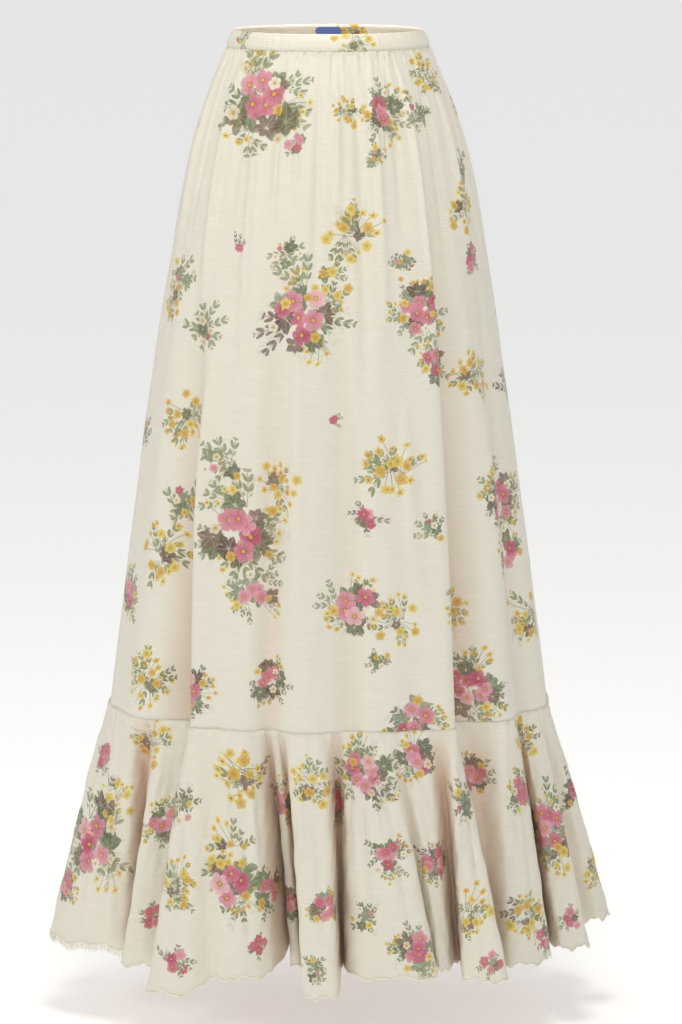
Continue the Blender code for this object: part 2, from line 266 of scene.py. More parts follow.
def at_turn(turn):
    """The share round at the seam and the point at the hem, at some (fractional) turns."""
    place = np.floor(turn).astype(int)
    share = turn - place
    left, right = place % LAST_TURN, (place + 1) % LAST_TURN
    start, end = TURN_SHARES[left], TURN_SHARES[right]
    around = start + np.where(end < start, end + 1.0 - start, end - start) * share
    hem = smooth_between(
        TURN_HEMS[left], TURN_HEMS[right], HEM_SLOPES[left], HEM_SLOPES[right], share[:, None]
    )
    return around, hem


print(len(LONG_FOLDS), "long folds and", len(RUFFLE_FOLDS), "ruffle folds")

# %% [markdown]
# ## Relief of the body
#
# A gathered waist isn't smooth below its band. Each stitch catches a little tuck, and a few tucks
# run on into soft ripples. A displacement texture would repeat and stretch. Here the tucks come
# from one seeded table, and the larger ripples are placed one by one, a row each, on the hidden
# sides too.

# %% Tucks and ripples
GATHER_COUNT = 190
GATHER_START = 0.0025      # the tucks rise to their full height this far below the band
LONG_GATHER_EVERY = 4      # one tuck in four runs on
LONG_GATHER = 3.6          # this many times further
LONG_GATHER_WIDER = 1.7
GROOVE = -0.9              # every other tuck is a groove, this deep beside the height of a ridge
RIPPLE_STRENGTH = 1.7
CREASE_STRENGTH = 1.4
TUCK_SEAM_HEIGHT = 0.0035  # the turning that is stitched down just above the ruffle
STITCHED_DEPTH, STITCHED_WIDTH = 0.0005, 0.0016     # the dent along its stitches
RIDGE_HEIGHT, RIDGE_WIDTH = 0.0002, 0.0022          # the ridge along the seam itself
CRUMPLE_HEIGHT = 0.0004
CRUMPLES_ROUND, CRUMPLE_DRIFT, CRUMPLE_DOWN = 41, 3.1, 23   # waves round and a metre; radians


def waist_gathers():
    """Rows of place round, lean, width, length and height for the tucks below the band."""
    dice = np.random.default_rng(11)
    places = (np.arange(GATHER_COUNT) + dice.uniform(-0.42, 0.42, GATHER_COUNT)) / GATHER_COUNT
    leans = dice.uniform(-0.006, 0.006, GATHER_COUNT)
    widths = dice.uniform(0.0011, 0.0024, GATHER_COUNT)
    lengths = dice.uniform(0.006, 0.045, GATHER_COUNT)
    heights = dice.uniform(0.0011, 0.0032, GATHER_COUNT)
    heights[1::2] *= GROOVE
    lengths[::LONG_GATHER_EVERY] *= LONG_GATHER
    widths[::LONG_GATHER_EVERY] *= LONG_GATHER_WIDER
    return np.stack((places, leans, widths, lengths, heights), axis=1)


# around and lean: its place round at the top, and how far round it has moved at its foot;
# top and foot: drops; width: a share round; out: metres, inward if negative.
RIPPLES = (
    (0.045, 0.004, 0.03, 0.36, 0.010, 0.0035),
    (0.070, 0.008, 0.03, 0.30, 0.006, -0.0030),
    (0.105, 0.012, 0.02, 0.45, 0.009, 0.0040),
    (0.132, 0.010, 0.02, 0.24, 0.005, -0.0026),
    (0.158, 0.014, 0.02, 0.55, 0.008, 0.0036),
    (0.186, 0.006, 0.02, 0.33, 0.006, -0.0034),
    (0.212, 0.004, 0.02, 0.26, 0.005, 0.0024),
    (0.238, 0.000, 0.02, 0.48, 0.007, -0.0030),
    (0.262, -0.002, 0.02, 0.30, 0.006, 0.0028),
    (0.287, -0.004, 0.02, 0.62, 0.008, -0.0036),
    (0.310, -0.006, 0.02, 0.40, 0.006, 0.0036),
    (0.338, -0.012, 0.02, 0.26, 0.005, -0.0026),
    (0.362, -0.014, 0.02, 0.58, 0.008, 0.0038),
    (0.394, -0.010, 0.02, 0.42, 0.007, -0.0034),
    (0.430, -0.006, 0.03, 0.36, 0.009, 0.0034),
    (0.468, 0.000, 0.03, 0.50, 0.010, -0.0028),
    (0.520, 0.002, 0.03, 0.44, 0.010, 0.0034),
    (0.556, 0.006, 0.02, 0.30, 0.006, -0.0030),
    (0.592, 0.008, 0.02, 0.52, 0.008, 0.0036),
    (0.630, 0.004, 0.02, 0.28, 0.006, -0.0028),
    (0.668, 0.004, 0.02, 0.60, 0.008, 0.0034),
    (0.702, 0.000, 0.02, 0.34, 0.006, -0.0034),
    (0.735, 0.000, 0.02, 0.46, 0.007, 0.0030),
    (0.772, -0.004, 0.02, 0.30, 0.006, -0.0026),
    (0.806, -0.004, 0.02, 0.56, 0.008, 0.0036),
    (0.846, -0.008, 0.02, 0.36, 0.007, -0.0032),
    (0.888, -0.008, 0.02, 0.48, 0.008, 0.0034),
    (0.930, -0.004, 0.03, 0.34, 0.009, -0.0030),
    (0.972, 0.000, 0.03, 0.42, 0.010, 0.0030),
    (0.140, 0.004, 0.36, 0.80, 0.009, 0.0034),
    (0.222, 0.002, 0.30, 0.80, 0.010, 0.0028),
    (0.276, 0.002, 0.42, 0.80, 0.008, -0.0026),
    (0.318, 0.000, 0.40, 0.80, 0.009, 0.0030),
    (0.408, -0.004, 0.40, 0.80, 0.010, 0.0034),
    (0.560, 0.002, 0.38, 0.80, 0.010, -0.0030),
    (0.680, 0.000, 0.42, 0.80, 0.010, 0.0034),
    (0.820, -0.002, 0.40, 0.80, 0.009, -0.0030),
    (0.935, 0.000, 0.38, 0.80, 0.010, 0.0032),
)


def rise_and_fall(place, top, foot):
    """0 outside top to foot, and a smooth swell that is 1 a third of the way down."""
    share = np.clip((place - top) / (foot - top), 0, 1)
    return np.sin(math.pi * share ** 0.63) ** 2


def body_relief(around, drop):
    """How far the cloth of the body stands out from its main form."""
    waves_round = np.sin(math.tau * (around * CRUMPLES_ROUND + drop * CRUMPLE_DRIFT))
    relief = CRUMPLE_HEIGHT * waves_round * np.sin(drop * CRUMPLE_DOWN)
    below = drop - BAND_HEIGHT
    for place, lean, width, length, height in waist_gathers():
        fade = np.clip(below / GATHER_START, 0, 1) * np.clip(1 - below / length, 0, 1) ** 1.5
        middle = place + lean * below / length
        relief = relief + height * fade * bell(share_away(around, middle), width)
    for place, lean, top, foot, width, out in RIPPLES:
        middle = place + lean * (drop - top) / (foot - top)
        wide = width * (0.55 + 0.45 * np.clip((drop - top) / (foot - top), 0, 1))
        relief = relief + RIPPLE_STRENGTH * out * rise_and_fall(drop, top, foot) * bell(
            share_away(around, middle), wide
        )
    stitched = STITCHED_DEPTH * bell(drop - SEAM_DROP + TUCK_SEAM_HEIGHT, STITCHED_WIDTH)
    return relief + RIDGE_HEIGHT * bell(drop - SEAM_DROP, RIDGE_WIDTH) - stitched


print(len(RIPPLES), "ripples and", GATHER_COUNT, "tucks")

# %% [markdown]
# ## Relief of the ruffle
#
# The ruffle's own seam is gathered harder than the waist, so it starts in short sharp tucks.
# Lower down, single creases run along the faces and the hollows of its folds. They are rows of a
# table again, placed by the turn of the fold that they lie on. The relief is laid along the
# surface's own direction, which is measured on the finished grid.

# %% Creases of the ruffle
RUFFLE_GATHER_COUNT = 190
SEAM_TURNING = 0.011       # the share of the ruffle that is turned up behind the body
SEAM_TUCK = 0.0004         # metres, how far behind the body it is tucked
SHOULDER_HEIGHT, SHOULDER_FALL, SHOULDER_WIDTH = 0.0014, 0.016, 0.014   # a swell below the seam
PUCKER_HEIGHT = 0.0009     # metres, the light crumple of the whole ruffle
PUCKERS_A_TURN, PUCKERS_DOWN = (7.3, 2.3), (9, 31)
RELIEF_START = 0.006       # the share of the way down over which the relief sets in
HEM_WAVES = ((0.8, 0.0026), (1.9, 0.0017), (4.3, 0.0004))   # waves a turn, and metres up and down


def ruffle_gathers():
    """Rows of turn, width, length and height for the tucks below the ruffle's seam."""
    dice = np.random.default_rng(23)
    steps = np.arange(RUFFLE_GATHER_COUNT) + dice.uniform(-0.4, 0.4, RUFFLE_GATHER_COUNT)
    places = steps / RUFFLE_GATHER_COUNT
    widths = dice.uniform(0.0013, 0.0027, RUFFLE_GATHER_COUNT)
    lengths = dice.uniform(0.05, 0.24, RUFFLE_GATHER_COUNT)
    heights = dice.uniform(0.0010, 0.0026, RUFFLE_GATHER_COUNT)
    heights[1::2] *= GROOVE
    return np.stack((places, widths, lengths, heights), axis=1)


# turn: where it lies; lean: how many turns it has moved at its foot; top and foot: shares of
# the way from the seam to the hem; width: in turns; out: metres, inward if negative.
CREASES = (
    (0.35, 0.10, 0.05, 0.80, 0.10, 0.0032), (0.80, 0.15, 0.10, 1.20, 0.09, -0.0030),
    (1.30, 0.10, 0.02, 0.70, 0.08, 0.0030), (1.65, 0.00, 0.20, 1.20, 0.09, 0.0026),
    (4.50, 0.10, 0.05, 0.90, 0.14, 0.0022), (5.30, 0.05, 0.10, 1.10, 0.13, -0.0020),
    (8.40, 0.05, 0.05, 0.80, 0.13, 0.0028), (9.20, 0.10, 0.15, 1.20, 0.14, -0.0026),
    (12.30, 0.10, 0.02, 0.70, 0.11, 0.0032), (12.85, 0.10, 0.10, 1.20, 0.11, -0.0028),
    (13.40, 0.10, 0.05, 0.90, 0.10, 0.0030), (20.50, 0.10, 0.05, 0.95, 0.14, 0.0024),
    (21.20, 0.05, 0.10, 1.20, 0.13, -0.0022), (24.30, 0.05, 0.02, 0.80, 0.08, 0.0034),
    (24.65, 0.05, 0.10, 1.20, 0.08, -0.0030), (25.10, 0.05, 0.05, 0.70, 0.08, 0.0028),
    (25.50, 0.05, 0.15, 1.20, 0.09, -0.0030), (32.40, 0.05, 0.05, 0.85, 0.13, 0.0028),
    (33.10, 0.05, 0.10, 1.20, 0.13, -0.0026), (36.40, 0.10, 0.05, 0.90, 0.12, 0.0026),
    (37.20, 0.05, 0.10, 1.20, 0.13, -0.0026), (40.50, 0.05, 0.05, 0.85, 0.13, 0.0026),
    (45.00, 0.05, 0.05, 0.90, 0.13, 0.0024), (48.60, 0.05, 0.05, 0.90, 0.13, 0.0028),
    (49.40, 0.05, 0.10, 1.20, 0.13, -0.0024), (52.40, 0.05, 0.05, 0.80, 0.10, 0.0030),
    (53.20, 0.05, 0.10, 1.20, 0.10, -0.0028), (56.60, 0.05, 0.05, 0.90, 0.13, 0.0026),
    (60.40, 0.05, 0.05, 0.75, 0.09, 0.0032), (60.95, 0.05, 0.10, 1.20, 0.10, -0.0028),
    (61.50, 0.05, 0.05, 0.90, 0.09, 0.0028), (64.70, 0.05, 0.05, 0.90, 0.13, 0.0024),
    (68.40, 0.05, 0.05, 0.80, 0.10, 0.0030), (69.20, 0.05, 0.10, 1.20, 0.11, -0.0028),
    (72.60, 0.05, 0.05, 0.90, 0.13, 0.0026), (76.40, 0.05, 0.05, 0.80, 0.10, 0.0030),
    (77.10, 0.05, 0.10, 1.20, 0.11, -0.0028), (80.60, 0.05, 0.05, 0.90, 0.13, 0.0026),
)


def ruffle_relief(turn, around, fall):
    """How far the ruffle's cloth stands out from its main form."""
    relief = SHOULDER_HEIGHT * bell(fall - SHOULDER_FALL, SHOULDER_WIDTH)
    for place, width, length, height in ruffle_gathers():
        fade = np.clip(1 - fall / length, 0, 1) ** 1.4
        relief = relief + height * fade * bell(share_away(around, place), width)
    for place, lean, top, foot, width, out in CREASES:
        middle = place + lean * (fall - top) / (foot - top)
        relief = relief + CREASE_STRENGTH * out * rise_and_fall(fall, top, foot) * bell(
            turn - middle, width
        )
    puckers = np.ones(1)
    for a_turn, down in zip(PUCKERS_A_TURN, PUCKERS_DOWN):
        puckers = puckers * np.sin(turn * a_turn + fall * down)
    relief = relief + PUCKER_HEIGHT * puckers * np.clip(fall * 3, 0, 1)
    return np.where(fall > 0, relief * np.clip(fall / RELIEF_START, 0, 1), -SEAM_TUCK)


def hem_lift(turn, fall):
    """How far the cloth near the hem waves up and down, as a rolled hem puckers it."""
    lift = sum(height * np.sin(math.tau * rate * turn + rate) for rate, height in HEM_WAVES)
    return lift * np.clip(fall, 0, 1) ** 3


def ruffle_surface(turn, fall):
    """Points on the ruffle's main form for rows of falls and columns of turns, with their rounds."""
    around, hem = at_turn(turn)
    seam = body_surface(around % 1.0, np.full_like(around, SEAM_DROP))
    spread = np.maximum(fall, 0) ** RUFFLE_FLARE
    points = seam[None] + (hem - seam)[None] * spread[:, None, None]
    points[..., 2] = seam[None, :, 2] + (hem - seam)[None, :, 2] * fall[:, None]
    return points, around


print(len(CREASES), "creases and", RUFFLE_GATHER_COUNT, "tucks at the seam of the ruffle")

# %% [markdown]
# ## From grids to cloth
#
# Each sewn panel is one grid of points, wide enough apart to be light and close enough for a tuck
# of a few millimetres. Columns of the ruffle are spaced by the length of its hem, so that a wide
# fold gets more of them than a narrow one. Solidify then gives the cloth its half millimetre, with
# a second material on the inside.

# %% Panels of cloth
BODY_GRID_COLUMNS, BODY_GRID_ROWS = 390, 118
BAND_TURNING = 0.004       # how far the body's top reaches up inside the band
RUFFLE_GRID_COLUMNS, RUFFLE_GRID_ROWS = 400, 104
BODY_ROW_CROWDING, RUFFLE_ROW_CROWDING = 1.25, 1.15    # above 1, rows are closer near the top
SEAM_WEIGHT = 0.8          # how much the seam's length counts beside the hem's in spacing columns


def even_turns(first, last, count):
    """Turns from first to last, spaced by a mix of the hem's length and the seam's."""
    fine = np.linspace(first, last, 4000)
    around, hem = at_turn(fine)
    across = np.unwrap(around, period=1.0)
    hem_steps = np.linalg.norm(np.diff(hem, axis=0), axis=1)
    seam_steps = np.abs(np.diff(across))
    steps = hem_steps / hem_steps.sum() + SEAM_WEIGHT * seam_steps / seam_steps.sum()
    way = np.concatenate(((0.0,), np.cumsum(steps)))
    return np.interp(np.linspace(0, way[-1], count), way, fine)


def grid_normals(points):
    """The direction that each point of a grid faces, outward."""
    down = np.gradient(points, axis=0)
    across = np.gradient(points, axis=1)
    normal = np.cross(down, across)
    return normal / np.maximum(np.linalg.norm(normal, axis=-1, keepdims=True), 1e-9)


def body_grid(first, last):
    """The points of a body panel between two shares round, with its place round and drop."""
    around = np.linspace(first, last, BODY_GRID_COLUMNS)
    top = np.linspace(0, 1, BODY_GRID_ROWS) ** BODY_ROW_CROWDING
    start = BAND_HEIGHT - BAND_TURNING
    drop = start + (SEAM_DROP - start) * top
    around, drop = np.meshgrid(around, drop)
    return body_surface(around, drop, body_relief(around, drop)), around, drop


def ruffle_grid(first, last):
    """The points of a ruffle panel between two turns, with its turns and falls."""
    turn = even_turns(first, last - 1e-6, RUFFLE_GRID_COLUMNS)
    rows = np.linspace(0, 1, RUFFLE_GRID_ROWS - 1) ** RUFFLE_ROW_CROWDING
    fall = np.concatenate(((-SEAM_TURNING,), rows))
    points, around = ruffle_surface(turn, fall)
    turn, fall = np.meshgrid(turn, fall)
    points[..., 2] += hem_lift(turn, fall)
    relief = ruffle_relief(turn, (around % 1.0)[None], fall)
    return points + grid_normals(points) * relief[..., None], turn, fall


PANELS = {
    "body_front": body_grid(0.0, 0.5),
    "body_back": body_grid(0.5, 1.0),
    "ruffle_front": ruffle_grid(0, SIDE_TURN),
    "ruffle_back": ruffle_grid(SIDE_TURN, LAST_TURN),
}
for name, (points, _, _) in PANELS.items():
    low, high = points.min((0, 1)), points.max((0, 1))
    print(name, points.shape[:2], "points from", low.round(3), "to", high.round(3))

# %% [markdown]
# ## The waistband
#
# The band is a strip folded over elastic and stitched along both edges, so it's a little fuller in
# the middle and lightly crumpled. It is one closed ring of points: down the outside, under, up the
# inside and over the top. That gives it a real thickness, which shows where the far side of the
# band rises behind the near one.

# %% The waistband's ring
BAND_HALF_WALL = 0.0013
BAND_SWELL = 0.0011
BAND_COLUMNS = 620
BAND_PROFILE = 20          # points round the band's section
BAND_STITCH_HEIGHT = 0.0022   # from each edge to its row of stitches
BAND_STITCH_DEPTH, BAND_STITCH_WIDTH = 0.0005, 0.0008
BAND_PLEATS, BAND_PLEAT_HEIGHT = 96, 0.0009
BAND_EDGE = 0.0008         # the edges round off over this height
BAND_GAP = 0.0003          # between the band's foot and the gathers


def band_crumple(around, height):
    """Small uneven pleats of the cloth over the elastic, strongest between the stitches."""
    dice = np.random.default_rng(5)
    crumple = 0 * around
    steps = np.arange(BAND_PLEATS) + dice.uniform(-0.45, 0.45, BAND_PLEATS)
    for place in steps / BAND_PLEATS:
        width, lean, strength = dice.uniform((0.0012, -0.002, 0.2), (0.0036, 0.002, 1.0))
        crumple = crumple + strength * bell(share_away(around, place + lean * height), width)
    return BAND_PLEAT_HEIGHT * crumple


def band_grid():
    """Points of the band in rows round its section: down the outside is 0 to 1, up the inside 1 to 2."""
    half = BAND_PROFILE // 2
    way = np.concatenate((np.linspace(0, 1, half), np.linspace(1, 2, half), (2.0,)))
    side = np.concatenate((np.ones(half), -np.ones(half), (1.0,)))
    way, around = np.meshgrid(way, np.linspace(0, 1, BAND_COLUMNS), indexing="ij")
    height = 1 - np.abs(way - 1)
    side = side[:, None] + 0 * height
    bow = np.sin(math.pi * height)
    swell = BAND_SWELL * bow + band_crumple(around % 1.0, height) * bow ** 0.5
    stitched = BAND_STITCH_DEPTH * (
        bell(height * BAND_HEIGHT - BAND_STITCH_HEIGHT, BAND_STITCH_WIDTH)
        + bell((1 - height) * BAND_HEIGHT - BAND_STITCH_HEIGHT, BAND_STITCH_WIDTH)
    )
    proud = BAND_HALF_WALL * side + np.where(side > 0, swell - stitched, -0.3 * swell)
    edge = np.minimum(height, 1 - height) * BAND_HEIGHT
    proud = proud * np.clip(edge / BAND_EDGE, 0.25, 1)
    drop = (BAND_HEIGHT - BAND_GAP) * height
    return body_surface(around, drop, proud), around, way


PANELS["waistband"] = band_grid()
print("waistband", BAND_COLUMNS, "columns")

# %% [markdown]
# ## The printed flowers
#
# The cloth is printed with loose bunches of pink, yellow and cream flowers on a cream ground.
# A picture could be laid over the panels, but flowers can be drawn by sums too: every motif is a
# stamp with its own little pair of axes. Each corner of a panel's faces stores where it lies on a
# stamp, as x and y from the stamp's middle in units of its radius, and a seed for its colour. The
# material then draws petals, leaves and stems from those three numbers, as sharp as it likes.
# There are three kinds of stamp, each with a few layers so that neighbours can overlap.

# %% Stamps on a panel
EMPTY = 9.0                # a place outside every stamp
FREE_SHARE = 0.87          # how much of a stamp has to find its layer free
STAMP_MARGIN = 1.6         # points within this many radii are looked at
LAYERS = {"spray": 3, "leaves": 3, "bloom": 3}


class Print:
    """The stamps of one panel: for every layer, x, y and seed at the four corners of each face."""

    def __init__(self, points, seed):
        rows, columns = points.shape[:2]
        self.across = np.zeros((rows, columns))
        self.down = np.zeros((rows, columns))
        self.across[:, 1:] = np.cumsum(np.linalg.norm(np.diff(points, axis=1), axis=-1), axis=1)
        self.down[1:] = np.cumsum(np.linalg.norm(np.diff(points, axis=0), axis=-1), axis=0)
        self.dice = np.random.default_rng(seed)
        self.count = 0
        self.layers = {
            f"{kind}{number}": np.full((rows - 1, columns - 1, 4, 3), EMPTY)
            for kind, copies in LAYERS.items()
            for number in range(copies)
        }

    def stamp(self, kind, row, column, right, up, radius, angle, seed):
        """Put one motif right and up of a grid point, turned by an angle, if there is room."""
        x = self.across - self.across[:, column][:, None] - right
        y = self.down[row, column] - self.down - up
        rows = np.flatnonzero((np.abs(y) < radius * STAMP_MARGIN).any(axis=1))
        columns = np.flatnonzero((np.abs(x) < radius * STAMP_MARGIN).any(axis=0))
        if len(rows) < 2 or len(columns) < 2:
            return
        block = np.ix_(np.arange(rows[0], rows[-1] + 1), np.arange(columns[0], columns[-1] + 1))
        x, y = x[block] / radius, y[block] / radius
        local_x = x * math.cos(angle) + y * math.sin(angle)
        local_y = y * math.cos(angle) - x * math.sin(angle)
        place = np.stack((local_x, local_y, np.full_like(x, seed)), axis=-1)
        corners = np.stack((place[:-1, :-1], place[1:, :-1], place[1:, 1:], place[:-1, 1:]), axis=2)
        low, high = corners[..., :2].min(axis=2), corners[..., :2].max(axis=2)
        nearest = np.maximum(np.maximum(low, -high), 0)
        touched = (nearest ** 2).sum(axis=-1) < 1
        if not touched.any():
            return
        target = (slice(rows[0], rows[-1]), slice(columns[0], columns[-1]))
        for number in range(LAYERS[kind]):
            layer = self.layers[f"{kind}{number}"][target]
            free = touched & (layer[..., 0, 0] == EMPTY)
            if free.sum() > FREE_SHARE * touched.sum():
                layer[free] = corners[free]
                self.count += 1
                return


# %% [markdown]
# ## Bunches
#
# A bunch is a recipe: how many of each motif, how large, and how far from its middle. Sprays
# stand round the outside and point away, leaves sit further in, and the flowers cover the middle.
# Seeds below a half are pinks for a flower, green for leaves and a yellow floret spray for a
# spray. Higher ones are the other colours.

# %% Recipes
# motif; how many; radius from and to; distance from the middle, from and to (mm); seed from and to.
RECIPES = {
    "bouquet": (
        ("spray", 5, 20, 30, 30, 50, 0.50, 1.00), ("spray", 3, 18, 25, 30, 46, 0.00, 0.50),
        ("leaves", 4, 16, 23, 14, 34, 0.00, 0.50), ("leaves", 5, 15, 21, 10, 36, 0.50, 1.00),
        ("bloom", 7, 10, 13.5, 4, 27, 0.00, 0.64), ("bloom", 5, 5, 8, 18, 42, 0.64, 1.00),
    ),
    "posy": (
        ("spray", 3, 16, 23, 20, 32, 0.50, 1.00), ("spray", 2, 15, 20, 20, 32, 0.00, 0.50),
        ("leaves", 3, 14, 19, 8, 22, 0.00, 0.50), ("leaves", 4, 14, 19, 8, 22, 0.50, 1.00),
        ("bloom", 5, 9, 12, 3, 17, 0.00, 0.60), ("bloom", 3, 5, 7, 14, 28, 0.64, 1.00),
    ),
    "trio": (
        ("spray", 2, 14, 19, 8, 14, 0.50, 1.00), ("leaves", 1, 9, 12, 4, 9, 0.00, 0.50),
        ("leaves", 1, 8, 11, 5, 11, 0.50, 1.00), ("bloom", 4, 6, 8.5, 4, 14, 0.00, 0.45),
    ),
    "yellow": (
        ("spray", 3, 20, 28, 10, 24, 0.00, 0.50), ("spray", 3, 18, 24, 12, 30, 0.50, 1.00),
        ("leaves", 1, 10, 13, 6, 16, 0.50, 1.00), ("bloom", 6, 5.5, 8, 8, 32, 0.64, 0.83),
    ),
    "sprig": (
        ("spray", 4, 18, 27, 6, 22, 0.50, 1.00), ("leaves", 2, 10, 14, 4, 16, 0.00, 0.50),
        ("bloom", 3, 4.5, 6.5, 6, 24, 0.64, 1.00), ("bloom", 1, 4, 5.5, 6, 18, 0.00, 0.50),
    ),
    "bud": (("spray", 1, 10, 13, 5, 7, 0.50, 1.00), ("bloom", 2, 5, 6.5, 1, 5, 0.00, 0.30)),
}
MM = 0.001


def plant(panel, row, column, recipe, size=1.0):
    """Stamp one bunch round a grid point."""
    for motif, count, small, large, near, far, seed_from, seed_to in RECIPES[recipe]:
        start = panel.dice.uniform(0, math.tau)
        for number in range(count):
            away = start + (number + panel.dice.uniform(-0.3, 0.3)) * math.tau / count
            reach, radius, seed, tip = panel.dice.uniform(
                (near, small, seed_from, -0.5), (far, large, seed_to, 0.5)
            )
            reach, radius = reach * MM * size, radius * MM * size
            right, up = reach * math.cos(away), reach * math.sin(away)
            turned = away - math.pi / 2 + tip if motif == "spray" else away + tip * math.tau
            panel.stamp(motif, row, column, right, up, radius, turned, seed)


# recipe; place round; drop; size.
BODY_BUNCHES = (
    ("bouquet", 0.160, 0.078, 1.25), ("posy", 0.325, 0.085, 0.95), ("yellow", 0.412, 0.050, 0.80),
    ("trio", 0.214, 0.120, 0.90), ("sprig", 0.305, 0.135, 0.70), ("sprig", 0.030, 0.110, 0.80),
    ("bud", 0.156, 0.240, 1.00), ("yellow", 0.274, 0.225, 1.05), ("bouquet", 0.228, 0.318, 1.05),
    ("sprig", 0.205, 0.250, 0.90), ("yellow", 0.252, 0.285, 0.90),
    ("bouquet", 0.338, 0.315, 0.80), ("posy", 0.352, 0.372, 0.90), ("sprig", 0.326, 0.265, 0.80),
    ("yellow", 0.425, 0.205, 0.95), ("trio", 0.430, 0.262, 1.00), ("sprig", 0.450, 0.160, 0.80),
    ("sprig", 0.072, 0.280, 1.00), ("sprig", 0.118, 0.345, 1.10), ("yellow", 0.100, 0.445, 0.95),
    ("yellow", 0.060, 0.320, 0.80), ("bud", 0.254, 0.438, 0.90), ("yellow", 0.400, 0.395, 0.90),
    ("bouquet", 0.176, 0.570, 1.15), ("posy", 0.190, 0.640, 1.00), ("yellow", 0.210, 0.515, 0.90),
    ("sprig", 0.160, 0.490, 1.10), ("sprig", 0.110, 0.545, 1.10), ("yellow", 0.096, 0.610, 1.00),
    ("yellow", 0.304, 0.500, 1.05), ("trio", 0.281, 0.556, 1.05), ("sprig", 0.332, 0.570, 0.80),
    ("bouquet", 0.422, 0.545, 0.95), ("posy", 0.432, 0.610, 0.90), ("posy", 0.268, 0.655, 1.15),
    ("yellow", 0.302, 0.670, 0.85), ("sprig", 0.288, 0.722, 0.70), ("yellow", 0.356, 0.668, 0.95),
    ("posy", 0.042, 0.665, 0.90), ("yellow", 0.095, 0.752, 0.95), ("posy", 0.150, 0.765, 1.00),
    ("posy", 0.205, 0.745, 0.85), ("bouquet", 0.372, 0.765, 0.90), ("posy", 0.312, 0.795, 1.00),
    ("yellow", 0.456, 0.700, 1.00), ("sprig", 0.020, 0.480, 1.00), ("sprig", 0.480, 0.420, 1.00),
    ("posy", 0.545, 0.090, 0.90), ("yellow", 0.620, 0.070, 0.85), ("bouquet", 0.690, 0.120, 0.90),
    ("trio", 0.770, 0.080, 0.95), ("yellow", 0.830, 0.110, 0.90), ("posy", 0.910, 0.080, 0.90),
    ("sprig", 0.580, 0.215, 1.00), ("trio", 0.655, 0.250, 1.00), ("yellow", 0.735, 0.235, 1.05),
    ("bouquet", 0.815, 0.290, 1.00), ("sprig", 0.880, 0.220, 1.00), ("posy", 0.950, 0.260, 0.95),
    ("bouquet", 0.560, 0.345, 0.95), ("yellow", 0.625, 0.385, 1.00), ("bouquet", 0.700, 0.400, 1.05),
    ("sprig", 0.765, 0.430, 1.00), ("yellow", 0.850, 0.430, 0.95), ("trio", 0.915, 0.400, 1.00),
    ("yellow", 0.975, 0.400, 0.95), ("trio", 0.530, 0.500, 1.00), ("bouquet", 0.600, 0.540, 1.00),
    ("sprig", 0.665, 0.550, 1.00), ("posy", 0.740, 0.575, 1.05), ("yellow", 0.795, 0.560, 0.95),
    ("bouquet", 0.865, 0.600, 1.05), ("posy", 0.945, 0.560, 0.95), ("yellow", 0.545, 0.655, 1.00),
    ("posy", 0.630, 0.700, 0.95), ("yellow", 0.695, 0.690, 0.95), ("bouquet", 0.770, 0.740, 0.95),
    ("trio", 0.820, 0.690, 1.00), ("yellow", 0.890, 0.740, 0.95), ("posy", 0.960, 0.720, 0.95),
    ("bouquet", 0.560, 0.775, 0.90), ("posy", 0.665, 0.795, 0.95), ("yellow", 0.275, 0.088, 0.65),
    ("sprig", 0.368, 0.092, 0.90),
)
